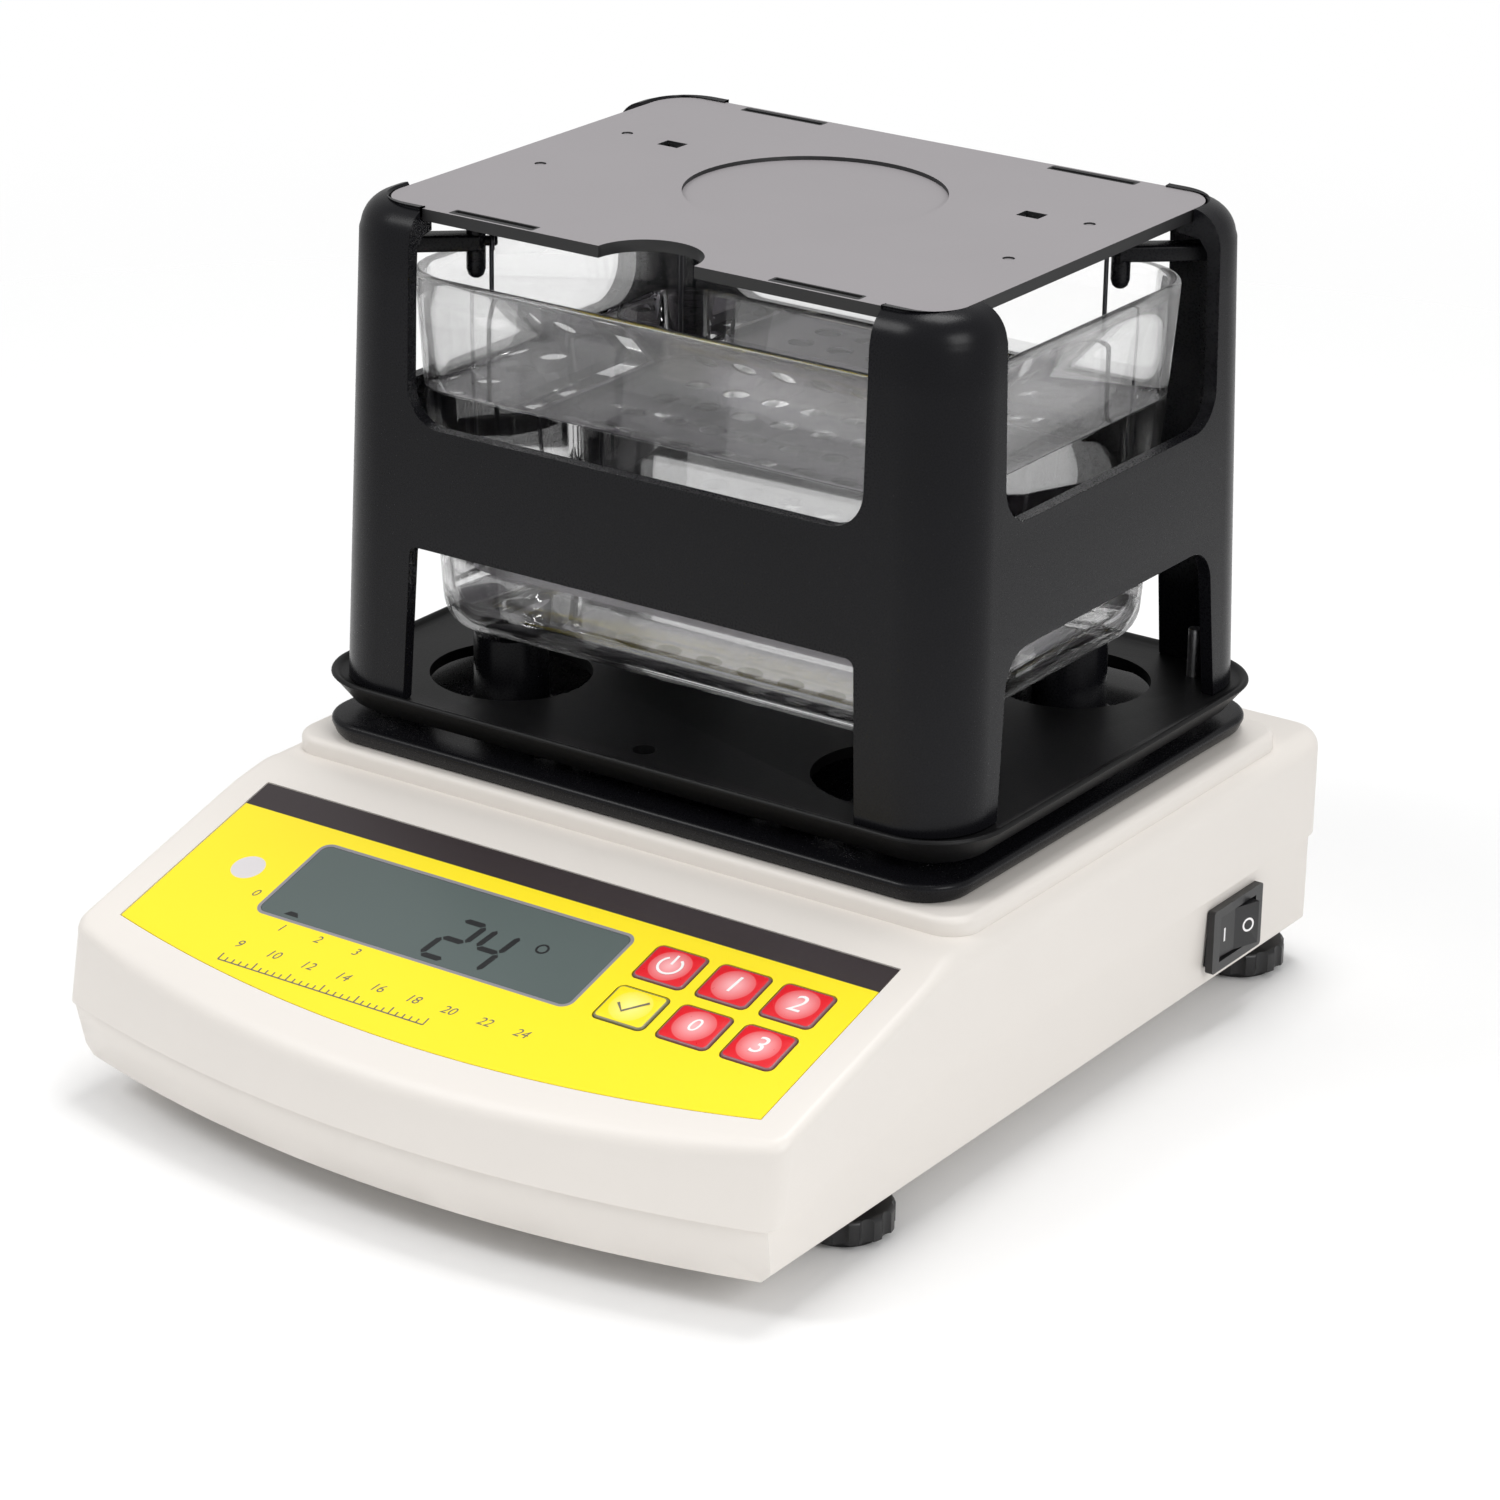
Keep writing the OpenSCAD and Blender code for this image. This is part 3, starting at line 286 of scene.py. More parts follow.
def cut(piece, prisms):
    """Takes prisms out of a piece. Each cutter is turned so that its faces point outwards first."""
    cutters = []
    for points, faces in prisms:
        cutter = new_surface("cutter", points, faces)
        quad = np.asarray(faces[0])
        a, b, c = (points[i] for i in quad[:3])
        if np.dot(np.cross(b - a, c - b), points[quad].mean(0) - points.mean(0)) < 0:
            cutter.data.flip_normals()
        modifier = piece.modifiers.new("Cut", "BOOLEAN")
        modifier.operation = "DIFFERENCE"
        modifier.solver = "MANIFOLD"
        modifier.object = cutter
        cutters.append(cutter)
    bpy.context.view_layer.update()
    apply_modifiers(piece)
    for cutter in cutters:
        bpy.data.objects.remove(cutter)


def arc(r, angles):
    """Points r (cos a, sin a) of a circle."""
    return np.stack([r * np.cos(angles), r * np.sin(angles)], -1)


def rounded_outline(hx, hy, r, cx=0.0, cy=0.0, corner=6):
    """Outline of a rounded rectangle about (cx, cy)."""
    return rounded_rings([(hx, hy, r, 0)], corner)[0][:, :2] + (cx, cy)


def through_slope(n0, n1):
    """Placing function of a prism square to the keypad slope."""
    return lambda a, b, d: on_slope(a, b, n0 + (n1 - n0) * d)


def through(axis, start, stop):
    """Placing function of a prism along an axis (0, 1 or 2), its outline in the other two."""
    def place(a, b, d):
        parts = [a, b]
        parts.insert(axis, start + (stop - start) * d + 0 * a)
        return np.stack(parts, -1)
    return place


def round_holes(r, places, z0, z1, count=40):
    """Upright round cutters at places about the stand's middle."""
    circle = arc(r, np.linspace(0, 2 * math.pi, count, endpoint=False))
    return [prism(circle + (x, STAND_Y + y), through(2, z0, z1)) for x, y in places]


def soften(piece, width, segments=2, angle=35):
    """Rounds a piece's edges that are sharper than the angle, and keeps its flat faces flat."""
    piece.modifiers.new("Weld", "WELD").merge_threshold = 1e-6
    bevel = piece.modifiers.new("Soft edges", "BEVEL")
    bevel.width = width
    bevel.segments = segments
    bevel.limit_method = "ANGLE"
    bevel.angle_limit = math.radians(angle)
    bevel.miter_outer = "MITER_ARC"
    bevel.harden_normals = True


# ---- shader groups and finishes --------------------------------------------

def fill(node, inputs):
    """Links each input of a node to a socket, or sets it to a value."""
    for label, value in inputs.items():
        if isinstance(value, bpy.types.NodeSocket):
            node.id_data.links.new(value, node.inputs[label])
        else:
            node.inputs[label].default_value = value


class Nodes:
    """Nodes of one tree, with small sums on sockets, so that a printed pattern reads as a formula."""

    def __init__(self, tree):
        self.tree = tree

    def new(self, kind, inputs, **settings):
        """A node with its settings and inputs; gives its outputs."""
        node = self.tree.nodes.new("ShaderNode" + kind)
        for label, value in settings.items():
            setattr(node, label, value)
        fill(node, inputs)
        return node.outputs

    def math(self, operation, a, b=0.0, c=0.0, clamp=False):
        return self.new("Math", {0: a, 1: b, 2: c}, operation=operation, use_clamp=clamp)[0]

    def place(self):
        """The surface point in Object coordinates."""
        return self.new("TexCoord", {})["Object"]

    def along(self, direction, origin):
        """Distance of the surface point from origin along a direction."""
        shift = self.new("VectorMath", {0: self.place(), 1: tuple(origin)}, operation="SUBTRACT")[0]
        return self.new("VectorMath", {0: shift, 1: tuple(direction)}, operation="DOT_PRODUCT")["Value"]

    def slope_place(self):
        """x and s of the surface point on the keypad slope."""
        return self.along((1, 0, 0), PANEL), self.along(UP_SLOPE, PANEL)

    def over(self, value, edge, soft=0.00004):
        """1 where value is past edge, with a thin soft border."""
        return self.math("MULTIPLY_ADD", self.math("SUBTRACT", value, edge), 0.5 / soft, 0.5, clamp=True)

    def under(self, value, edge, soft=0.00004):
        """1 where value is short of edge, with a thin soft border."""
        return self.over(value, edge, -soft)

    def length(self, a, b):
        """Square root of a a + b b."""
        return self.math("SQRT", self.math("MULTIPLY_ADD", a, a, self.math("MULTIPLY", b, b)))

    def box_distance(self, x, s, cx, cs, hx, hs, r):
        """Signed distance from a rounded rectangle: the outer part of (|p - c| - half + r), less r."""
        dx = self.math("SUBTRACT", self.math("ABSOLUTE", self.math("SUBTRACT", x, cx)), hx - r)
        ds = self.math("SUBTRACT", self.math("ABSOLUTE", self.math("SUBTRACT", s, cs)), hs - r)
        outer = self.length(self.math("MAXIMUM", dx, 0.0), self.math("MAXIMUM", ds, 0.0))
        inner = self.math("MINIMUM", self.math("MAXIMUM", dx, ds), 0.0)
        return self.math("SUBTRACT", self.math("ADD", outer, inner), r)

    def round_distance(self, x, s, cx, cs):
        """Distance from a point."""
        return self.length(self.math("SUBTRACT", x, cx), self.math("SUBTRACT", s, cs))

    def mix(self, mask, a, b):
        """Colour a where mask is 0 and b where it is 1."""
        a, b = (v if isinstance(v, bpy.types.NodeSocket) else (*v, 1) for v in (a, b))
        return self.new("Mix", {0: mask, 6: a, 7: b}, data_type="RGBA")[2]


ROUGHNESS_SPREAD = 0.12


def new_group(name, inputs, outputs):
    """(nodes, start, end) of a shader group: inputs give each default, and outputs each kind."""
    group = bpy.data.node_groups.new(name, "ShaderNodeTree")
    for label, value in inputs.items():
        kind = "NodeSocketColor" if isinstance(value, tuple) else "NodeSocketFloat"
        group.interface.new_socket(name=label, in_out="INPUT", socket_type=kind).default_value = value
    for label, kind in outputs.items():
        group.interface.new_socket(name=label, in_out="OUTPUT", socket_type="NodeSocket" + kind)
    return Nodes(group), group.nodes.new("NodeGroupInput").outputs, group.nodes.new("NodeGroupOutput")


def grain_group():
    """Moulded surface: a fine speckle drives bump and roughness, and broad clouds shift the colour."""
    t, start, end = new_group(
        "Moulded grain",
        {"Colour": (0.8, 0.8, 0.8, 1), "Roughness": 0.4, "Grain per metre": 2500.0, "Grain height": 0.2,
         "Cloud": 0.04},
        {"Colour": "Color", "Roughness": "Float", "Normal": "Vector"})
    place = t.place()
    speckle = t.new("TexNoise", {"Vector": place, "Scale": start["Grain per metre"], "Detail": 3})["Fac"]
    cloud = t.new("TexNoise", {"Vector": place, "Scale": 35, "Detail": 4})["Fac"]
    value = t.math("MULTIPLY_ADD", t.math("SUBTRACT", cloud, 0.5), start["Cloud"], 1.0)
    bump = t.new("Bump", {"Distance": 0.0001, "Height": speckle, "Strength": start["Grain height"]})
    fill(end, {"Colour": t.new("HueSaturation", {"Value": value, "Color": start["Colour"]})["Color"],
               "Roughness": t.math("MULTIPLY_ADD", speckle, ROUGHNESS_SPREAD, start["Roughness"]),
               "Normal": bump["Normal"]})
    return t.tree


def drawn_group():
    """Milled or drawn metal: noise stretched along one axis drives roughness and a faint bump."""
    t, start, end = new_group("Drawn metal", {"Roughness": 0.3}, {"Roughness": "Float", "Normal": "Vector"})
    stretched = t.new("Mapping", {"Vector": t.place(), "Scale": (900, 40, 900)})["Vector"]
    streak = t.new("TexNoise", {"Vector": stretched, "Scale": 1.0})["Fac"]
    bump = t.new("Bump", {"Distance": 0.00005, "Strength": 0.15, "Height": streak})
    fill(end, {"Roughness": t.math("MULTIPLY_ADD", streak, 0.15, start["Roughness"]),
               "Normal": bump["Normal"]})
    return t.tree


def new_material(name):
    """A new material, its shader and its nodes."""
    material = bpy.data.materials.new(name)
    material.use_nodes = True
    return material, material.node_tree.nodes["Principled BSDF"], Nodes(material.node_tree)


def moulded(name, colour, roughness, grain, height, cloud, shine=0.5, pattern=None):
    """A plastic finish with grain: colour is a value or names one of the scene's colours, and
    pattern(nodes) may give a colour that varies in its place."""
    material, shader, t = new_material(name)
    if isinstance(colour, str):
        colour = getattr(colours(), colour)
    ground = pattern(t) if pattern else (*colour, 1)
    group = bpy.data.node_groups.get("Moulded grain") or grain_group()
    out = t.new("Group", {"Colour": ground, "Roughness": roughness - ROUGHNESS_SPREAD / 2,
                          "Grain per metre": grain, "Grain height": height, "Cloud": cloud}, node_tree=group)
    fill(shader, {"Base Color": out["Colour"] if cloud else ground, "Roughness": out["Roughness"],
                  "Normal": out["Normal"], "Specular IOR Level": shine})
    return material


def metal(name, colour, roughness):
    """A drawn or milled metal finish."""
    material, shader, t = new_material(name)
    group = bpy.data.node_groups.get("Drawn metal") or drawn_group()
    out = t.new("Group", {"Roughness": roughness}, node_tree=group)
    fill(shader, {"Base Color": (*colour, 1), "Metallic": 1.0, "Roughness": out["Roughness"],
                  "Normal": out["Normal"]})
    return material


def clear(name, ior, roughness=0.0, body=1.0):
    """A clear body, such as the tank wall or water; body is how much of it bends and mirrors light."""
    material, shader, t = new_material(name)
    fill(shader, {"Base Color": (1, 1, 1, 1), "Alpha": body, "IOR": ior, "Transmission Weight": 1.0,
                  "Roughness": 0.0})
    if roughness:
        waves = t.new("TexNoise", {"Vector": t.place(), "Scale": 60})["Fac"]
        fill(shader, {"Roughness": t.math("MULTIPLY", waves, roughness)})
    return material


def overlay_print(t):
    """Colour of the overlay: yellow, a dark band above, a grey line round the display and a pale disc."""
    band_s, line, grey = 0.0512, 0.0008, (0.26, 0.25, 0.27)
    disc_x, disc_s, disc_r, pale = -0.0667, 0.0328, 0.0038, (0.68, 0.65, 0.66)
    x, s = t.slope_place()
    ground = t.mix(t.over(s, band_s), tuple(colours().overlay), tuple(colours().band))
    display = t.box_distance(x, s, DISPLAY_X, DISPLAY_S, DISPLAY_HX, DISPLAY_HS, 0.002)
    framed = t.mix(t.under(display, line), ground, grey)
    return t.mix(t.under(t.round_distance(x, s, disc_x, disc_s), disc_r, 0.0001), framed, pale)


def key_colour_and_highlight(column, row, ground, painted_highlight, rim):
    """Colour of one key: a painted highlight, a round pale patch that is palest in the middle, and a thin dark
    line at the rim.
    """
    highlight_radius, highlight_fade_per_metre, rim_width, soft = 0.0046, 140.0, 0.00045, 0.0001

    def build(t):
        x, s = t.slope_place()
        centre = key_centre(column, row)
        d = t.round_distance(x, s, *centre)
        # Painted highlight: a round pale patch on the key, strongest in the middle.
        pale = t.math("SUBTRACT", 0.8, t.math("MULTIPLY", d, highlight_fade_per_metre), clamp=True)
        lit = t.mix(t.math("MULTIPLY", t.under(d, highlight_radius, soft), t.math("MAXIMUM", pale, 0.2)), ground, painted_highlight)
        edge = t.box_distance(x, s, *centre, *KEY_HALF, KEY_CORNER)
        return t.mix(t.over(edge, -rim_width, soft), lit, rim)
    return build


def plate_colour_and_slot_shade(t):
    """Colour of the top plate: grey, with painted shade: what faces up in a strip round each edge slot is made
    dark, for the shade in the slot's opening.
    """
    slot_shade, strip_inset, slot_shade_half, past_slot, corner = (0.012, 0.012, 0.013), 0.0022, 0.0016, 0.0006, 0.0005
    facing = t.new("SeparateXYZ", {0: t.new("TexCoord", {})["Normal"]})["Z"]
    up = t.math("MULTIPLY_ADD", t.math("SUBTRACT", facing, 0.8), 10.0, 0.5, clamp=True)
    x = t.math("ABSOLUTE", t.along((1, 0, 0), (0, 0, 0)))
    y = t.math("ABSOLUTE", t.along((0, 1, 0), STAND))
    strip = t.box_distance(x, y, PLATE_SLOT_X, half_size("top_plate")[1] - strip_inset,
                           PLATE_SLOT_L / 2 + past_slot, slot_shade_half, corner)
    # Painted shade: the dark strips round the edge slots stand for the shade in their openings.
    return t.mix(t.math("MULTIPLY", up, t.over(strip, 0.0)), slot_shade, tuple(colours().plate))


# Each row is the function that makes a finish, and its arguments.
FINISHES = {
    "case_plastic": (moulded, "Case plastic", "case", 0.42, 1800, 0.05, 0.03),
    "black_plastic": (moulded, "Frame plastic", "frame", 0.28, 2200, 0.08, 0.4, 0.18),
    "base_plastic": (moulded, "Base plastic", (0.006, 0.006, 0.0065), 0.42, 3200, 0.28, 0.5, 0.22),
    "plate_grey": (moulded, "Plate paint", "plate", 0.5, 3600, 0.22, 0.06, 0.5, plate_colour_and_slot_shade),
    "overlay_yellow": (moulded, "Overlay print", "overlay", 0.38, 1500, 0.02, 0.0, 0.5, overlay_print),
    "lens_clear": (moulded, "Display glass", "display", 0.22, 900, 0.02, 0.05, 0.3),
    "lcd_grey": (moulded, "Display back", (0.11, 0.13, 0.13), 0.5, 900, 0.02, 0.05),
    "board_green": (moulded, "Circuit board", (0.02, 0.12, 0.055), 0.4, 4000, 0.1, 0.3),
    "switch_black": (moulded, "Switch plastic", (0.012, 0.012, 0.013), 0.34, 2600, 0.1, 0.3),
    "key_red": (moulded, "Key red", "key", 0.3, 900, 0.02, 0.02),
    "key_yellow": (moulded, "Key yellow", "overlay", 0.3, 900, 0.02, 0.02),
    "foot_rubber": (moulded, "Sole rubber", (0.02, 0.02, 0.021), 0.8, 2500, 0.4, 0.3),
    "foot_black": (moulded, "Foot plastic", (0.009, 0.009, 0.01), 0.36, 2600, 0.15, 0.3),
    "grey_ink": (moulded, "Grey ink", (0.16, 0.145, 0.11), 0.5, 900, 0.0, 0.0),
    "display_ink": (moulded, "Display ink", (0.006, 0.007, 0.008), 0.4, 900, 0.0, 0.0),
    "white_ink": (moulded, "White ink", (0.92, 0.90, 0.90), 0.4, 900, 0.0, 0.0),
    "steel": (metal, "Zinc steel", (0.55, 0.55, 0.56), 0.28),
    "brass": (metal, "Nut brass", (0.72, 0.53, 0.25), 0.3),
    "cell_alu": (metal, "Milled aluminium", (0.76, 0.77, 0.78), 0.3),
    "wire_dark": (metal, "Dark wire", (0.055, 0.055, 0.06), 0.35),
    "basket_steel": (metal, "Stainless basket", (0.17, 0.16, 0.18), 0.3),
    "tank_clear": (clear, "Tank wall", 1.40, 0.01, 0.72),
    "water": (clear, "Water", 1.333),
}


def finish(slot):
    """The material of a slot, an ink or the water, made when it is first asked for."""
    make, name, *values = FINISHES[slot]
    return bpy.data.materials.get(name) or make(name, *values)


# ---- operators: one for each piece or group of pieces -----------------------

class TESTER_OT_finishes(bpy.types.Operator):
    """Gives every solid its finish and rounds the small solids that show."""

    bl_idname = "tester.finishes"
    bl_label = "Finishes"

    def execute(self, context):
        for entry in frame["record"]["subparts"]:
            solid = NODES[entry["node"]]
            solid.data.materials.clear()
            solid.data.materials.append(finish(entry["material_slot"]))
        for name, width in (("rocker", 0.0005), ("rocker_bezel", 0.0004), ("top_plate", 0.0002),
                            ("lower_housing", 0.0008), ("dc_inlet", 0.0002)):
            soften(NODES[name], width, 3)
        return {"FINISHED"}


def roof(y):
    """Height of the housing's top at y: slope, then deck, blended by a parabola for 3 mm each side of the
    ridge."""
    d, w, k = y - RIDGE_Y, 0.003, math.tan(TILT)
    blend = DECK_Z - k * (w - d) ** 2 / (4 * w)
    return np.where(d < -w, DECK_Z + k * d, np.where(d > w, DECK_Z, blend))


def seam(y):
    """Height of the seam at y: level at the front, rising along the sides, level again to the back."""
    return np.interp(y, SEAM_Y, SEAM_Z)


def case_outline(shrink=0.0):
    """Plan of the housing and its outward normals, as rows (x, y, normal x, normal y): the front arc of
    radius FRONT_R - shrink about (0, ARC_Y), corner arcs that touch it and the side walls, straight sides
    with points bunched at the ridge, and round back corners."""
    front_c, back_c = 0.0047, 0.008

    def bend(x, y, r, a):
        """An arc about (x, y) from the front: (x + r sin a, y - r cos a), its normal (sin a, -cos a)."""
        return np.stack([x + r * np.sin(a), y - r * np.cos(a), np.sin(a), -np.cos(a)], -1)

    radius = FRONT_R - shrink
    cx = HALF_W - front_c
    cy = ARC_Y - math.sqrt((radius - front_c) ** 2 - cx ** 2)
    tangent = math.atan2(cx, ARC_Y - cy)
    front = bend(0, ARC_Y, radius, np.linspace(-tangent, tangent, 90))
    right = bend(cx, cy, front_c, np.linspace(tangent, math.pi / 2, 12)[1:])
    near_mm = np.array([-14, -9, -6, -4, -3, -2.2, -1.5, -0.8, 0, 0.8, 1.5, 2.2, 3, 4, 6, 9, 14, 22])
    y = np.concatenate([np.linspace(cy, RIDGE_Y - 0.02, 14)[1:], RIDGE_Y + near_mm / 1000,
                        np.linspace(RIDGE_Y + 0.03, BACK_Y - back_c, 14)])
    side = np.stack([HALF_W + 0 * y, y, 1 + 0 * y, 0 * y], -1)
    corner = bend(HALF_W - back_c, BACK_Y - back_c, back_c, np.linspace(math.pi / 2, math.pi, 12)[1:])
    half = np.concatenate([right, side, corner])
    x = np.linspace(HALF_W - back_c, back_c - HALF_W, 24)[1:-1]
    back = np.stack([x, BACK_Y + 0 * x, 0 * x, 1 + 0 * x], -1)
    left = half[::-1] * (-1, 1, -1, 1)
    return np.concatenate([front, half, back, left])


def case_rings():
    """Rings of the upper shell. Wall: height from seam to roof, leaning in at the front. Edge: inset
    r (1 - cos a) and drop r (1 - sin a). Top: rings scaled to a point on the ridge line. The same again
    inside, one wall lower."""
    o = case_outline()
    p, n = o[:, :2], o[:, 2:]
    deck_r, slope_r, back_less = 0.0048, 0.0022, 0.0013
    before_ridge, ridge_run = 0.010, 0.014
    corner_x, corner_r, no_limit = (0.060, 0.085), (0.0050, 0.0026), 0.01
    step, lean, ledge = 0.004, math.tan(math.radians(10)), 0.003
    facing = np.clip(-n[:, 1], 0, 1)
    deck = np.clip((p[:, 1] - RIDGE_Y + before_ridge) / ridge_run, 0, 1)
    r = slope_r + (deck_r - slope_r) * deck + (sizes().front_round - slope_r) * facing ** 2
    r = r - back_less * np.clip(n[:, 1], 0, 1)
    r = np.minimum(r, np.interp(np.abs(p[:, 0]), corner_x, corner_r) + no_limit * (facing < 0.05))
    drawn_in = (case_outline(step)[:, :2] - p) / step

    def ring(shrink, inset, z_of):
        xy = p + drawn_in * shrink[:, None] - n * np.asarray(inset)[..., None]
        return np.column_stack([xy, z_of(xy[:, 1])])

    def lid(edge, drop, scales):
        """The edge scaled towards the middle of the ridge, at the roof's height less a drop."""
        middle = np.array([0.0, RIDGE_Y])
        plans = [middle + (edge - middle) * f for f in scales]
        return [np.column_stack([plan, roof(plan[:, 1]) - drop]) for plan in plans]

    foot, top = seam(p[:, 1]), roof(p[:, 1]) - r
    rows = []
    for f in np.linspace(0, 1, 9):
        z = foot + f * (top - foot)
        rows.append(ring(lean * (z - foot), 0.0, lambda y, z=z: z))
    tip = lean * (top - foot)
    for a in np.radians(np.linspace(0, 90, 9))[1:]:
        rows.append(ring(tip, r * (1 - math.cos(a)), lambda y, a=a: roof(y) - r * (1 - math.sin(a))))
    rows += lid(rows[-1][:, :2], 0.0, (0.96, 0.9, 0.8, 0.65, 0.5, 0.35, 0.2, 0.1, 0.04))
    inner = [ring(0 * r, CASE_WALL, lambda y: foot),
             ring(tip, CASE_WALL, lambda y: roof(y) - CASE_WALL - ledge)]
    inner += lid(inner[-1][:, :2], CASE_WALL, (0.99, 0.8, 0.5, 0.2, 0.04))
    return np.stack(inner[::-1] + rows)


class TESTER_OT_case(bpy.types.Operator):
    """Upper housing with its soft front edge, keypad recess and plinth."""

    bl_idname = "tester.case"
    bl_label = "Housing"

    def execute(self, context):
        shell = self.shell()
        below, above = 0.04, 0.07
        posts = round_holes(SUPPORT_HOLE_R, SUPPORTS, below, above)
        cut(shell, self.keypad_cutters() + posts)
        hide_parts("upper_housing")
        hx, hy, r, edge = 0.0875, 0.0673, 0.007, 0.0016
        step = [(hx, hy, r, DECK_Z - 0.0006), (hx, hy, r, PLINTH_Z - edge)]
        step += fillet(hx, hy, r, PLINTH_Z - edge, edge, 15, 90, 6)
        plinth = ring_piece("case_plinth", rounded_rings(step), "root", "case_plastic", centre=STAND)
        cut(plinth, posts)
        return {"FINISHED"}

    def shell(self):
        """The rings closed by a fan of triangles inside and one outside, each round a point on the ridge."""
        rings = case_rings()
        count, around = rings.shape[:2]
        poles = np.array([[0, RIDGE_Y, roof(RIDGE_Y) - CASE_WALL], [0, RIDGE_Y, roof(RIDGE_Y)]])
        m = np.arange(around)
        n = (m + 1) % around
        last, total = (count - 1) * around, count * around
        fans = np.concatenate([np.stack([n, m, total + 0 * m], -1),
                               np.stack([m + last, n + last, total + 1 + 0 * m], -1)])
        return mesh_piece("case_top", np.concatenate([rings.reshape(-1, 3), poles]),
                          ring_faces(count, around).tolist() + fans.tolist(), "root", "case_plastic")

    def keypad_cutters(self):
        """The overlay's recess with its curved lower edge, the six key holes and the display's hole."""
        gap, recess_n, hole_n, out_n, display_r = 0.0003, -0.0006, -0.006, 0.004, 0.0023
        x = np.linspace(-1, 1, 60) * (high("keypad_overlay")[0] + gap)
        curve = OVERLAY_ARC_S - gap + OVERLAY_ARC_R - np.sqrt(OVERLAY_ARC_R ** 2 - x ** 2)
        recess = np.concatenate([np.stack([x, curve], -1), [[x[-1], OVERLAY_TOP_S], [x[0], OVERLAY_TOP_S]]])
        holes = [rounded_outline(*KEY_HOLE, *key_centre(*place)) for place in KEYS.values()]
        holes.append(rounded_outline(DISPLAY_HX + gap, DISPLAY_HS + gap, display_r, DISPLAY_X, DISPLAY_S))
        down = through_slope(hole_n, out_n)
        return [prism(recess, through_slope(recess_n, out_n))] + [prism(hole, down) for hole in holes]


class TESTER_OT_keys(bpy.types.Operator):
    """Six crowned key pads with a painted highlight and a dark rim line."""

    bl_idname = "tester.keys"
    bl_label = "Keys"

    def execute(self, context):
        # Each tint is the key colour, its painted highlight and its rim line.
        tints = {"key_yellow": (tuple(colours().overlay), (1.0, 0.93, 0.35), (0.20, 0.19, 0.10)),
                 "key_red": (tuple(colours().key), (1.0, 0.62, 0.64), (0.22, 0.10, 0.12))}
        for name, place in KEYS.items():
            slot = "key_yellow" if name == "enter" else "key_red"
            pattern = key_colour_and_highlight(*place, *tints[slot])
            tinted = moulded("Key " + name, "key", 0.3, 900, 0.02, 0.02, pattern=pattern)
            pad = ring_piece("pad_" + name, self.rings(*key_centre(*place)), "key_" + name, slot, tinted)
            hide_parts("key_" + name)
        return {"FINISHED"}

    def rings(self, cx, cs):
        """A pad: straight sides, a rounded edge, and a crown that rises by 1 - f f at the scale f."""
        foot, edge, r = -0.0027, 0.0004, KEY_CORNER
        hx, hs = KEY_HALF
        rows = [(hx, hs, r, foot), (hx, hs, r, KEY_TOP_N - edge)]
        rows += fillet(hx, hs, r, KEY_TOP_N - edge, edge, 20, 90, 4)
        rows += [((hx - edge) * f, (hs - edge) * f, r * f, KEY_TOP_N + sizes().key_crown * (1 - f * f))
                 for f in (0.85, 0.65, 0.4, 0.15)]
        local = rounded_rings(rows, 8)
        return on_slope(local[..., 0] + cx, local[..., 1] + cs, local[..., 2])


def flat_text(words, size, shear):
    """Words as flat triangles: points (n, 2) about their middle, and faces."""
    curve = bpy.data.curves.new("words", "FONT")
    curve.body = words
    curve.size = size
    curve.shear = shear
    curve.align_x = "CENTER"
    curve.align_y = "CENTER"
    curve.resolution_u = 4
    holder = new_object("words", curve)
    mesh = evaluated_mesh(holder)
    points = np.zeros(len(mesh.vertices) * 3)
    mesh.vertices.foreach_get("co", points)
    faces = [list(f.vertices) for f in mesh.polygons]
    bpy.data.objects.remove(holder)
    bpy.data.meshes.remove(mesh)
    return points.reshape(-1, 3)[:, :2], faces


def stroke(points, width):
    """A flat line of a width along a path: each point gives one corner to each side, square to the path."""
    p = np.asarray(points, float)
    d = np.gradient(p, axis=0)
    d /= np.linalg.norm(d, axis=1)[:, None]
    side = np.stack([-d[:, 1], d[:, 0]], -1) * width / 2
    n = len(p)
    return np.concatenate([p - side, p + side]), [[i, i + 1, n + i + 1, n + i] for i in range(n - 1)]


def joined(shapes):
    """Flat shapes (points, faces, x, s) moved by (x, s) and made one: points and faces."""
    points, faces, start = [], [], 0
    for p, f, x, s in shapes:
        points.append(p + (x, s))
        faces += [[i + start for i in face] for face in f]
        start += len(p)
    return np.concatenate(points), faces


def print_on_slope(name, shapes, n, body, ink):
    """Flat shapes laid on the slope at height n."""
    points, faces = joined(shapes)
    return mesh_piece(name, on_slope(points[:, 0], points[:, 1], n), faces, body, None, finish(ink))


def display_digit(digit):
    """Seven-segment digit: each lit bar is a six-cornered strip, and x leans by slant times the height."""
    w, h, t, slant, gap = 0.0058, 0.0128, 0.00145, 0.16, 0.15
    bars = {"a": (0, h, w, h), "b": (w, h, w, h / 2), "c": (w, h / 2, w, 0), "d": (0, 0, w, 0),
            "e": (0, h / 2, 0, 0), "f": (0, h, 0, h / 2), "g": (0, h / 2, w, h / 2)}
    points, faces = [], []
    for key in {"2": "abged", "4": "fgbc"}[digit]:
        a, b = np.array(bars[key][:2]), np.array(bars[key][2:])
        u = (b - a) / np.linalg.norm(b - a)
        v = np.array([-u[1], u[0]]) * t / 2
        a, b = a + u * t * gap, b - u * t * gap
        c = u * t / 2
        faces.append([len(points) + i for i in range(6)])
        points += [a, a + c - v, b - c - v, b, b - c + v, a + c + v]
    p = np.array(points)
    p[:, 0] += p[:, 1] * slant
    return p, faces


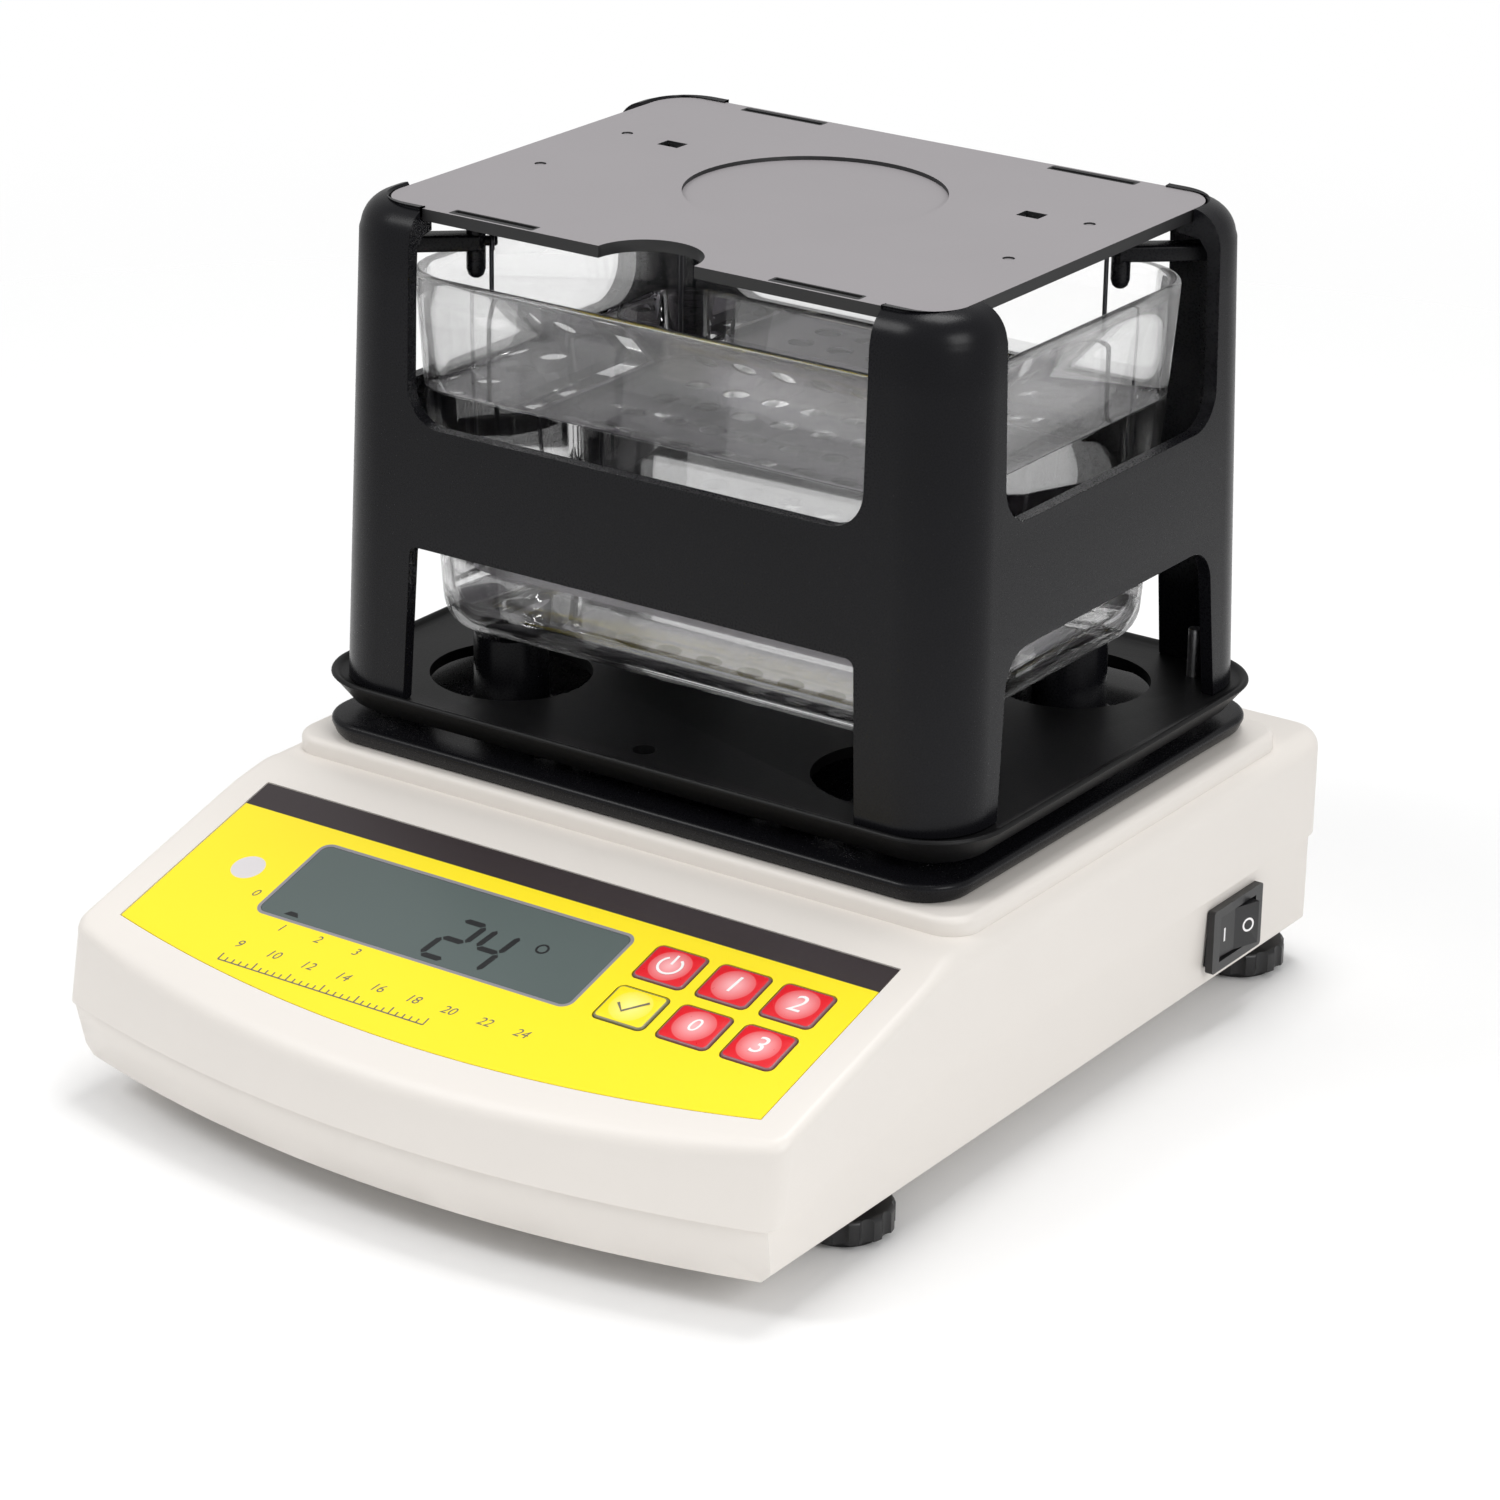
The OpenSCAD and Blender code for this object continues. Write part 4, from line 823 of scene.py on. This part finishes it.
class TESTER_OT_prints(bpy.types.Operator):
    """Display digits, plain numbers on the overlay and signs on the keys."""

    bl_idname = "tester.prints"
    bl_label = "Prints"

    def execute(self, context):
        print_on_slope("overlay_numbers", self.scale() + self.marks(), OVERLAY_N + INK_N, "root", "grey_ink")
        print_on_slope("display_digits", self.digits(), DISPLAY_N + INK_N, "root", "display_ink")
        top = KEY_TOP_N + sizes().key_crown + 0.00002
        for name, shapes in self.signs().items():
            cx, cs = key_centre(*KEYS[name])
            placed = [(*shape, cx, cs) for shape in shapes]
            ink = "grey_ink" if name == "enter" else "white_ink"
            print_on_slope("sign_" + name, placed, top, "key_" + name, ink)
        return {"FINISHED"}

    def scale(self):
        """Numbers over a ruled scale, every fifth line of it a tall one."""
        line, pitch, count, x0, s0, tall, short = 0.00035, 0.0018, 31, -0.0525, 0.0048, 0.0022, 0.0013
        text, slant, text_x, text_pitch, text_s = 0.0034, 0.25, -0.0515, 0.0092, 0.0107
        numbers = [(*flat_text(words, text, slant), text_x + i * text_pitch, text_s)
                   for i, words in enumerate(("9", "10", "12", "14", "16", "18", "20", "22", "24"))]
        ticks = [(*stroke([(0, 0), (0, short if i % 5 else tall)], line), x0 + i * pitch, s0)
                 for i in range(count)]
        return numbers + ticks + [(*stroke([(0, 0), ((count - 1) * pitch, 0)], line), x0, s0)]

    def marks(self):
        """Plain numbers beside and below the display's left end."""
        text, slant = 0.0032, 0.25
        places = (("0", -0.0594, 0.0262), ("1", -0.0465, 0.0187), ("2", -0.0366, 0.0186),
                  ("3", -0.0264, 0.0185))
        return [(*flat_text(words, text, slant), x, s) for words, x, s in places]

    def digits(self):
        """What the display shows: two digits, a low mark at the left and a small ring at the right."""
        mark = np.array([[-0.0019, 0], [0.0019, 0], [0.0009, 0.0013], [-0.0009, 0.0013]])
        return [(*display_digit("2"), -0.0135, 0.0238), (*display_digit("4"), -0.0047, 0.0238),
                (mark, [[0, 1, 2, 3]], -0.0472, 0.0229),
                (*stroke(arc(0.0013, np.linspace(0, 6.3, 22)), 0.0005), 0.0098, 0.0352)]

    def signs(self):
        """Signs on the keys, each a list of flat shapes about the key's middle."""
        line, text, zero_text, slant = 0.0006, 0.0072, 0.0056, 0.1
        ring = arc(0.0026, np.radians(np.linspace(125, 415, 28)))
        tick = [(-0.0030, 0.0), (-0.0009, -0.0021), (0.0032, 0.0022)]
        return {"power": [stroke(ring, line), stroke([(0, 0.0004), (0, 0.0034)], line)],
                "one": [flat_text("1", text, slant)], "two": [flat_text("2", text, slant)],
                "three": [flat_text("3", text, slant)], "zero": [flat_text("0", zero_text, slant)],
                "enter": [stroke(tick, line)]}


class TESTER_OT_rocker_marks(bpy.types.Operator):
    """The line and circle on the two faces of the power rocker."""

    bl_idname = "tester.rocker_marks"
    bl_label = "Rocker marks"

    def execute(self, context):
        pivot = np.array(next(j for j in frame["joints"] if j["name"] == "rocker_tilt")["pos_m"])
        turn = math.radians(-11)
        mark_y, face_x, rise, gap = 0.0040, 0.0029, 0.001 / 0.007, 0.00004
        points, faces = joined([(*stroke([(0, -0.0016), (0, 0.0016)], 0.0006), -mark_y, 0),
                                (*stroke(arc(0.0014, np.linspace(0, 2 * math.pi, 25)), 0.0005), mark_y, 0)])
        y, z = points.T
        x = face_x + np.abs(y) * rise + gap
        placed = pivot + np.stack([x * math.cos(turn) - y * math.sin(turn),
                                   x * math.sin(turn) + y * math.cos(turn), z], -1)
        mesh_piece("rocker_marks", placed, faces, "rocker", None, finish("white_ink"))
        return {"FINISHED"}


class TESTER_OT_tray(bpy.types.Operator):
    """Black tray with the four posts that carry the tank."""

    bl_idname = "tester.tray"
    bl_label = "Tray"

    def execute(self, context):
        hx, hy = half_size("tray")
        edge, below, above = 0.0012, 0.05, 0.08
        rows = [(hx - 0.0040, hy - 0.0036, 0.009, PLINTH_Z),
                (hx - 0.0018, hy - 0.0016, 0.010, PLINTH_Z + 0.0002),
                (hx - 0.0010, hy - 0.0009, 0.0108, PLINTH_Z + 0.0010), (hx, hy, 0.0118, TRAY_Z - 0.0014)]
        rows += fillet(hx, hy, 0.0118, TRAY_Z - edge, edge, 15, 90, 6)
        tray = ring_piece("tray_body", rounded_rings(rows, 14), "root", "black_plastic", centre=STAND)
        wells = [(i * 0.07, j * 0.008) for i, j in CORNERS]
        cut(tray, round_holes(SUPPORT_HOLE_R, SUPPORTS, below, above)
            + round_holes(0.0033, wells, TRAY_Z - 0.002, above))
        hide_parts("tray")
        self.posts()
        return {"FINISHED"}

    def posts(self):
        """Posts whose foot flares by a quarter turn and whose top edge is rounded."""
        top, r, flare_r, flare_h = low("tank")[2], 0.0083, 0.0035, 0.0036
        a = np.radians(np.linspace(0, 90, 8))
        flare = [(r + flare_r * (1 - math.sin(t)), TRAY_Z - 0.0001 + flare_h * (1 - math.cos(t))) for t in a]
        profile = flare + [(r, top - 0.0008), (r - 0.0002, top - 0.0003), (r - 0.0008, top)]
        for x, y in TANK_POSTS:
            turned_piece("tank_post", profile, (x, STAND_Y + y, 0), "root", "black_plastic")


class TESTER_OT_base_plate(bpy.types.Operator):
    """Weighed base plate with its flared rim and the four holes round the tank posts."""

    bl_idname = "tester.base_plate"
    bl_label = "Base plate"

    def execute(self, context):
        hx, hy = half_size("base_plate")
        z0, z1 = low("base_plate")[2], high("base_plate")[2]
        floor, flare, lip = z1 - 0.0012, 0.0045, 0.0007
        rows = inset_rows(hx, hy, [
            (flare + 0.002, 0.011, floor - 0.0025), (flare + 0.002, 0.011, z0), (flare + 0.0006, 0.0126, z0),
            (flare, 0.013, z0 + 0.0005), (0.0012, 0.0162, z1 - 0.0022), (0.0004, 0.0168, z1 - 0.0012)])
        rows += fillet(hx, hy, 0.017, z1 - lip, lip, 0, 90, 5)
        rows += inset_rows(hx, hy, [(0.0013, 0.0157, z1 - 0.0002), (0.0018, 0.0152, z1 - 0.0007),
                                    (0.0026, 0.0144, floor + 0.0001), (0.0034, 0.0136, floor)])
        rings = rounded_rings(rows, 16)
        plate = ring_piece("base_plate_body", rings, "weighed", "base_plastic", centre=STAND)
        below, above, edge_gap = 0.06, 0.08, 0.0105
        small = [(0, j * (hy - edge_gap)) for j in SIDES]
        cut(plate, round_holes(0.018, TANK_POSTS, below, above, 72)
            + round_holes(0.0026, small, below, above, 28))
        soften(plate, 0.0005, 3, 50)
        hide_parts("base_plate")
        return {"FINISHED"}


class TESTER_OT_frame(bpy.types.Operator):
    """Thin-walled weighing frame with its windows, curled column tops and hanger arms."""

    bl_idname = "tester.frame"
    bl_label = "Frame"

    def execute(self, context):
        rings = rounded_rings(self.rows(), 16)
        rings = np.concatenate([rings, rings[:1]])
        shell = ring_piece("frame_body", rings, "weighed", "black_plastic", centre=STAND, closed=False)
        shell.modifiers.new("Close", "WELD").merge_threshold = 1e-7
        apply_modifiers(shell)
        cut(shell, self.windows())
        soften(shell, sizes().edge_round, 2, 50)
        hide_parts("frame_shell")
        self.arms()
        return {"FINISHED"}

    def rows(self):
        """Profile of the wall: up the drafted outside, over the curled top, down to the ledge that holds the
        plate, and down the inside."""
        z0, top = low("frame_shell")[2], high("frame_shell")[2]
        foot_x, foot_y = half_size("frame_shell")
        draft, wall, r, curl = 0.0028, 0.003, 0.015, 0.0075
        plate_gap, ledge = 0.0005, 0.0037
        plate_x, plate_y = (half + plate_gap for half in half_size("top_plate"))

        def at(z, inset):
            k = (z - z0) / (top - z0) * draft
            return foot_x - k - inset, foot_y - k - inset, r - inset, z

        hx, hy = foot_x - draft, foot_y - draft
        rows = [at(z0, wall - 0.0004), at(z0, 0.0004), at(z0 + 0.0004, 0.0)]
        rows += [at(z, 0.0) for z in np.linspace(z0 + 0.004, top - curl, 12)]
        rows += fillet(hx, hy, r, top - curl, curl, 8, 76, 10)
        rows += inset_rows(plate_x, plate_y, [
            (-0.0004, 0.0106, top - 0.00005), (0, 0.0105, top - 0.0006), (0, 0.0105, PLATE_LOW),
            (ledge, 0.008, PLATE_LOW), (ledge, 0.008, PLATE_LOW - 0.0028)])
        rows += inset_rows(hx, hy, [(wall + 0.002, 0.010, PLATE_LOW - 0.0034),
                                    (wall, 0.012, PLATE_LOW - 0.006)])
        rows += [at(z, wall) for z in np.linspace(PLATE_LOW - 0.012, z0 + 0.004, 8)]
        return rows + [at(z0 + 0.0004, wall)]

    def windows(self):
        """Cutters: an open-topped window over the band of each side and an arch under it."""
        sill, arch, high_half, below = 0.1368, 0.1097, 0.05, low("frame_shell")[2] - 0.005
        through_x, through_y = through(0, -0.12, 0.12), through(1, -0.08, 0.15)

        def window_up(half, middle):
            return rounded_outline(half, high_half, 0.0085, middle, sill + high_half, 10)

        def window_down(half, flare, r, middle):
            right = arc(r, np.radians(np.linspace(0, 90, 10))) + (half - r, arch - r)
            right = np.concatenate([[[half + flare, below]], right])
            return np.concatenate([right, right[::-1] * (-1, 1)]) + (middle, 0)

        return [prism(window_up(0.0578, 0), through_y), prism(window_up(0.0423, STAND_Y), through_x),
                prism(window_down(0.057, 0.0018, 0.002, 0), through_y),
                prism(window_down(0.042, 0.003, 0.0085, STAND_Y), through_x)]

    def arms(self):
        """Four diagonal arms, each with a peg and the pin that carries a wire."""
        wire, turn, hook = (0.0554, 0.0351), math.radians(41), 0.00162
        z, h, w, length, edge = 0.1702, 0.0036, 0.005, 0.0205, 0.0004
        peg_z, back, overlap = 0.166, 0.0034, 0.001
        bar_rows = [(edge, edge, 0), (0, 0.0006, edge), (0, 0.0006, length)]
        bar = rounded_rings(inset_rows(h / 2, w / 2, bar_rows), 4)
        pin = rounded_rings([(0.0008, 0.0008, 0.0008, -0.0012), (0.0011, 0.0011, 0.0011, -0.0009),
                             (0.0011, 0.0011, 0.0011, back)], 5)
        peg = [(0.0001, -0.0021), (0.0010, -0.0019), (0.0017, -0.0013), (0.0021, 0), (0.0021, 0.0096),
               (0.0017, 0.0100), (0.0001, 0.0100)]
        for sx, sy in CORNERS:
            u = np.array([sx * math.cos(turn), sy * math.sin(turn), 0])
            v = np.array([-sx * math.sin(turn), sy * math.cos(turn), 0])
            start = np.array([sx * wire[0], STAND_Y + sy * wire[1], 0]) + v * hook

            def lay(name, rings, offset):
                """Lays upright rings along the arm; the turn that mirrors them has its faces turned back."""
                flat = np.stack([rings[..., 2] + offset, rings[..., 1], rings[..., 0] + z + h / 2], -1)
                placed = flat @ np.column_stack([u, v, (0, 0, 1)]).T + start
                piece = ring_piece(name, placed, "weighed", "black_plastic")
                if sx * sy > 0:
                    piece.data.flip_normals()

            lay("arm_bar", bar, back - overlap)
            turned_piece("arm_peg", [(r, y + peg_z) for r, y in peg], start + u * back, "weighed",
                         "black_plastic", 24)
            lay("arm_pin", pin, 0.0)


class TESTER_OT_tank(bpy.types.Operator):
    """Clear drafted tank and the water in it."""

    bl_idname = "tester.tank"
    bl_label = "Tank"

    def execute(self, context):
        z0, z1 = low("tank")[2], high("tank")[2]
        hx, hy = half_size("tank")
        draft, wall, floor, top_r, foot_r = 0.006, 0.0026, z0 + 0.004, 0.015, 0.010
        outer_bowl, inner_bowl, lip = 0.009, 0.0075, 0.0012

        def at(z, inset):
            """The drafted wall at a height, moved in by an inset."""
            k = (z1 - z) / (z1 - z0)
            return hx - draft * k - inset, hy - draft * k - inset, top_r - (top_r - foot_r) * k - inset, z

        def bowl(z, inset, r, steps):
            """Rounded foot: from the flat bottom out to the wall along a quarter turn of radius r."""
            x, y, corner, _ = at(z + r, inset)
            moved = r * (1 - np.cos(np.radians(np.linspace(90, 0, steps))))
            risen = r * (1 - np.sin(np.radians(np.linspace(90, 0, steps))))
            return [(x - m, y - m, max(corner - m, 0.001), z + n) for m, n in zip(moved, risen)]

        outer = bowl(z0, 0.0, outer_bowl, 10) + [at(z, 0) for z in np.linspace(z0 + 0.012, z1 - lip, 12)]
        rim = [at(z1 - 0.0004, 0.0003), at(z1, 0.0009), at(z1, wall - 0.0009),
               at(z1 - 0.0004, wall - 0.0003)]
        inner = [at(z, wall) for z in np.linspace(z1 - lip, floor + 0.009, 12)]
        inner += bowl(floor, wall, inner_bowl, 8)[::-1]
        rings = rounded_rings(outer + rim + inner, 16)
        tank = ring_piece("tank_wall", rings, "root", "tank_clear", smooth=60, centre=STAND)
        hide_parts("tank")
        level, film = sizes().water_level, 0.00006
        gap = wall + film
        rows = bowl(floor + film, gap, inner_bowl, 8)
        rows += [at(z, gap) for z in np.linspace(floor + 0.011, level, 8)]
        rows += [at(level + rise, gap + inset) for rise, inset in
                 ((0.0007, 0.00005), (0.0004, 0.0005), (0.0001, 0.0014), (0, 0.003))]
        ring_piece("water", rounded_rings(rows, 16), "root", "tank_clear", finish("water"), 60, STAND)
        return {"FINISHED"}


class TESTER_OT_stage(bpy.types.Operator):
    """Pale floor, soft lights and the camera."""

    bl_idname = "tester.stage"
    bl_label = "Stage"

    def execute(self, context):
        self.floor()
        self.world()
        self.light("Key light", (-0.75, -0.85, 1.25), 7.6)
        self.light("Fill light", (1.15, -0.35, 0.75), 5.8)
        self.light("Top light", (0.0, 0.25, 1.4), 8.4)
        self.camera()
        return {"FINISHED"}

    def floor(self):
        """A level floor that fades into the white world round the part."""
        half, count, drop, near, far = 3, 40, 0.00002, 0.24, 0.8
        x, y = np.meshgrid(*[np.linspace(-half, half, count)] * 2, indexing="ij")
        index = np.arange(count * count).reshape(count, count)
        faces = np.stack([index[:-1, :-1], index[1:, :-1], index[1:, 1:], index[:-1, 1:]], -1).reshape(-1, 4)
        floor = new_surface("floor", np.stack([x, y, np.full_like(x, -drop)], -1), faces.tolist())
        material, shader, t = new_material("Pale floor")
        away = t.length(t.along((1, 0, 0), (0, 0, 0)), t.along((0, 1, 0), (0, 0, 0)))
        fade = t.new("MapRange", {"Value": away, "From Min": near, "From Max": far, "To Min": 1.0,
                                  "To Max": 0.0}, interpolation_type="SMOOTHSTEP")["Result"]
        fill(shader, {"Base Color": (0.93, 0.93, 0.93, 1), "Roughness": 0.9, "Specular IOR Level": 0.1,
                      "Alpha": fade})
        floor.data.materials.append(material)

    def world(self):
        """Soft even light; what the camera and clear parts see is white."""
        soft, white = 0.52, 1.0
        world = bpy.data.worlds.new("Studio")
        bpy.context.scene.world = world
        world.use_nodes = True
        t = Nodes(world.node_tree)
        path = t.new("LightPath", {})
        seen = t.math("MAXIMUM", path["Is Camera Ray"], path["Is Transmission Ray"])
        strength = t.new("MapRange", {"Value": seen, "To Min": soft, "To Max": white})["Result"]
        fill(world.node_tree.nodes["Background"], {"Color": (1.0, 1.0, 1.0, 1), "Strength": strength})

    def light(self, name, place, power):
        """A square area light that faces the part."""
        lamp = bpy.data.lights.new(name, "AREA")
        lamp.size = 0.6
        lamp.energy = power
        holder = new_object(name, lamp)
        holder.location = place
        holder.rotation_mode = "QUATERNION"
        middle = Vector((0, 0, 0.08))
        holder.rotation_quaternion = (middle - Vector(place)).to_track_quat("-Z", "Y")

    def camera(self):
        """The photograph's view: azimuth, elevation and roll turn the camera, and a shift centres it."""
        azimuth, elevation, roll = (math.radians(v) for v in (34.3, 21.51, 0.92))
        photo_px, focal_px, shift_px = 1500, 4933.4, (-5.5, -42.8)
        back = Vector((math.sin(azimuth) * math.cos(elevation), -math.cos(azimuth) * math.cos(elevation),
                       math.sin(elevation)))
        right = Vector((math.cos(azimuth), math.sin(azimuth), 0))
        up = back.cross(right)
        data = bpy.data.cameras.new("Camera")
        data.sensor_width = 36
        data.lens = focal_px / photo_px * data.sensor_width
        data.shift_x, data.shift_y = (v / photo_px for v in shift_px)
        data.dof.use_dof = False
        data.clip_start, data.clip_end = 0.05, 50
        camera = new_object("Camera", data)
        matrix = Matrix((right * math.cos(roll) + up * math.sin(roll),
                         up * math.cos(roll) - right * math.sin(roll), back)).transposed().to_4x4()
        matrix.translation = Vector((0.5649, -0.8073, 0.4658))
        camera.matrix_world = matrix
        bpy.context.scene.camera = camera


STEPS = (TESTER_OT_finishes, TESTER_OT_case, TESTER_OT_keys, TESTER_OT_prints, TESTER_OT_rocker_marks,
         TESTER_OT_tray, TESTER_OT_base_plate, TESTER_OT_frame, TESTER_OT_tank, TESTER_OT_stage)


class TESTER_PT_panel(bpy.types.Panel):
    """Lists the sizes, the colours and the steps that build the looks."""

    bl_idname = "TESTER_PT_panel"
    bl_label = "Gold tester"
    bl_space_type = "VIEW_3D"
    bl_region_type = "UI"
    bl_category = "Tester"

    def draw(self, context):
        for group in (context.scene.tester_colours, context.scene.tester_sizes):
            for name in group.__annotations__:
                self.layout.prop(group, name)
        for step in STEPS:
            self.layout.operator(step.bl_idname)


CLASSES = (TesterColours, TesterSizes, *STEPS, TESTER_PT_panel)


def register():
    """Adds the classes and the scene's properties."""
    for item in CLASSES:
        bpy.utils.register_class(item)
    bpy.types.Scene.tester_colours = bpy.props.PointerProperty(type=TesterColours)
    bpy.types.Scene.tester_sizes = bpy.props.PointerProperty(type=TesterSizes)


def unregister():
    """Takes them away again."""
    del bpy.types.Scene.tester_sizes
    del bpy.types.Scene.tester_colours
    for item in reversed(CLASSES):
        bpy.utils.unregister_class(item)


def main():
    """Builds every piece in order."""
    register()
    bpy.context.scene.view_settings.view_transform = "Standard"
    for step in STEPS:
        group, name = step.bl_idname.split(".")
        getattr(getattr(bpy.ops, group), name)()


if __name__ == "__main__":
    main()
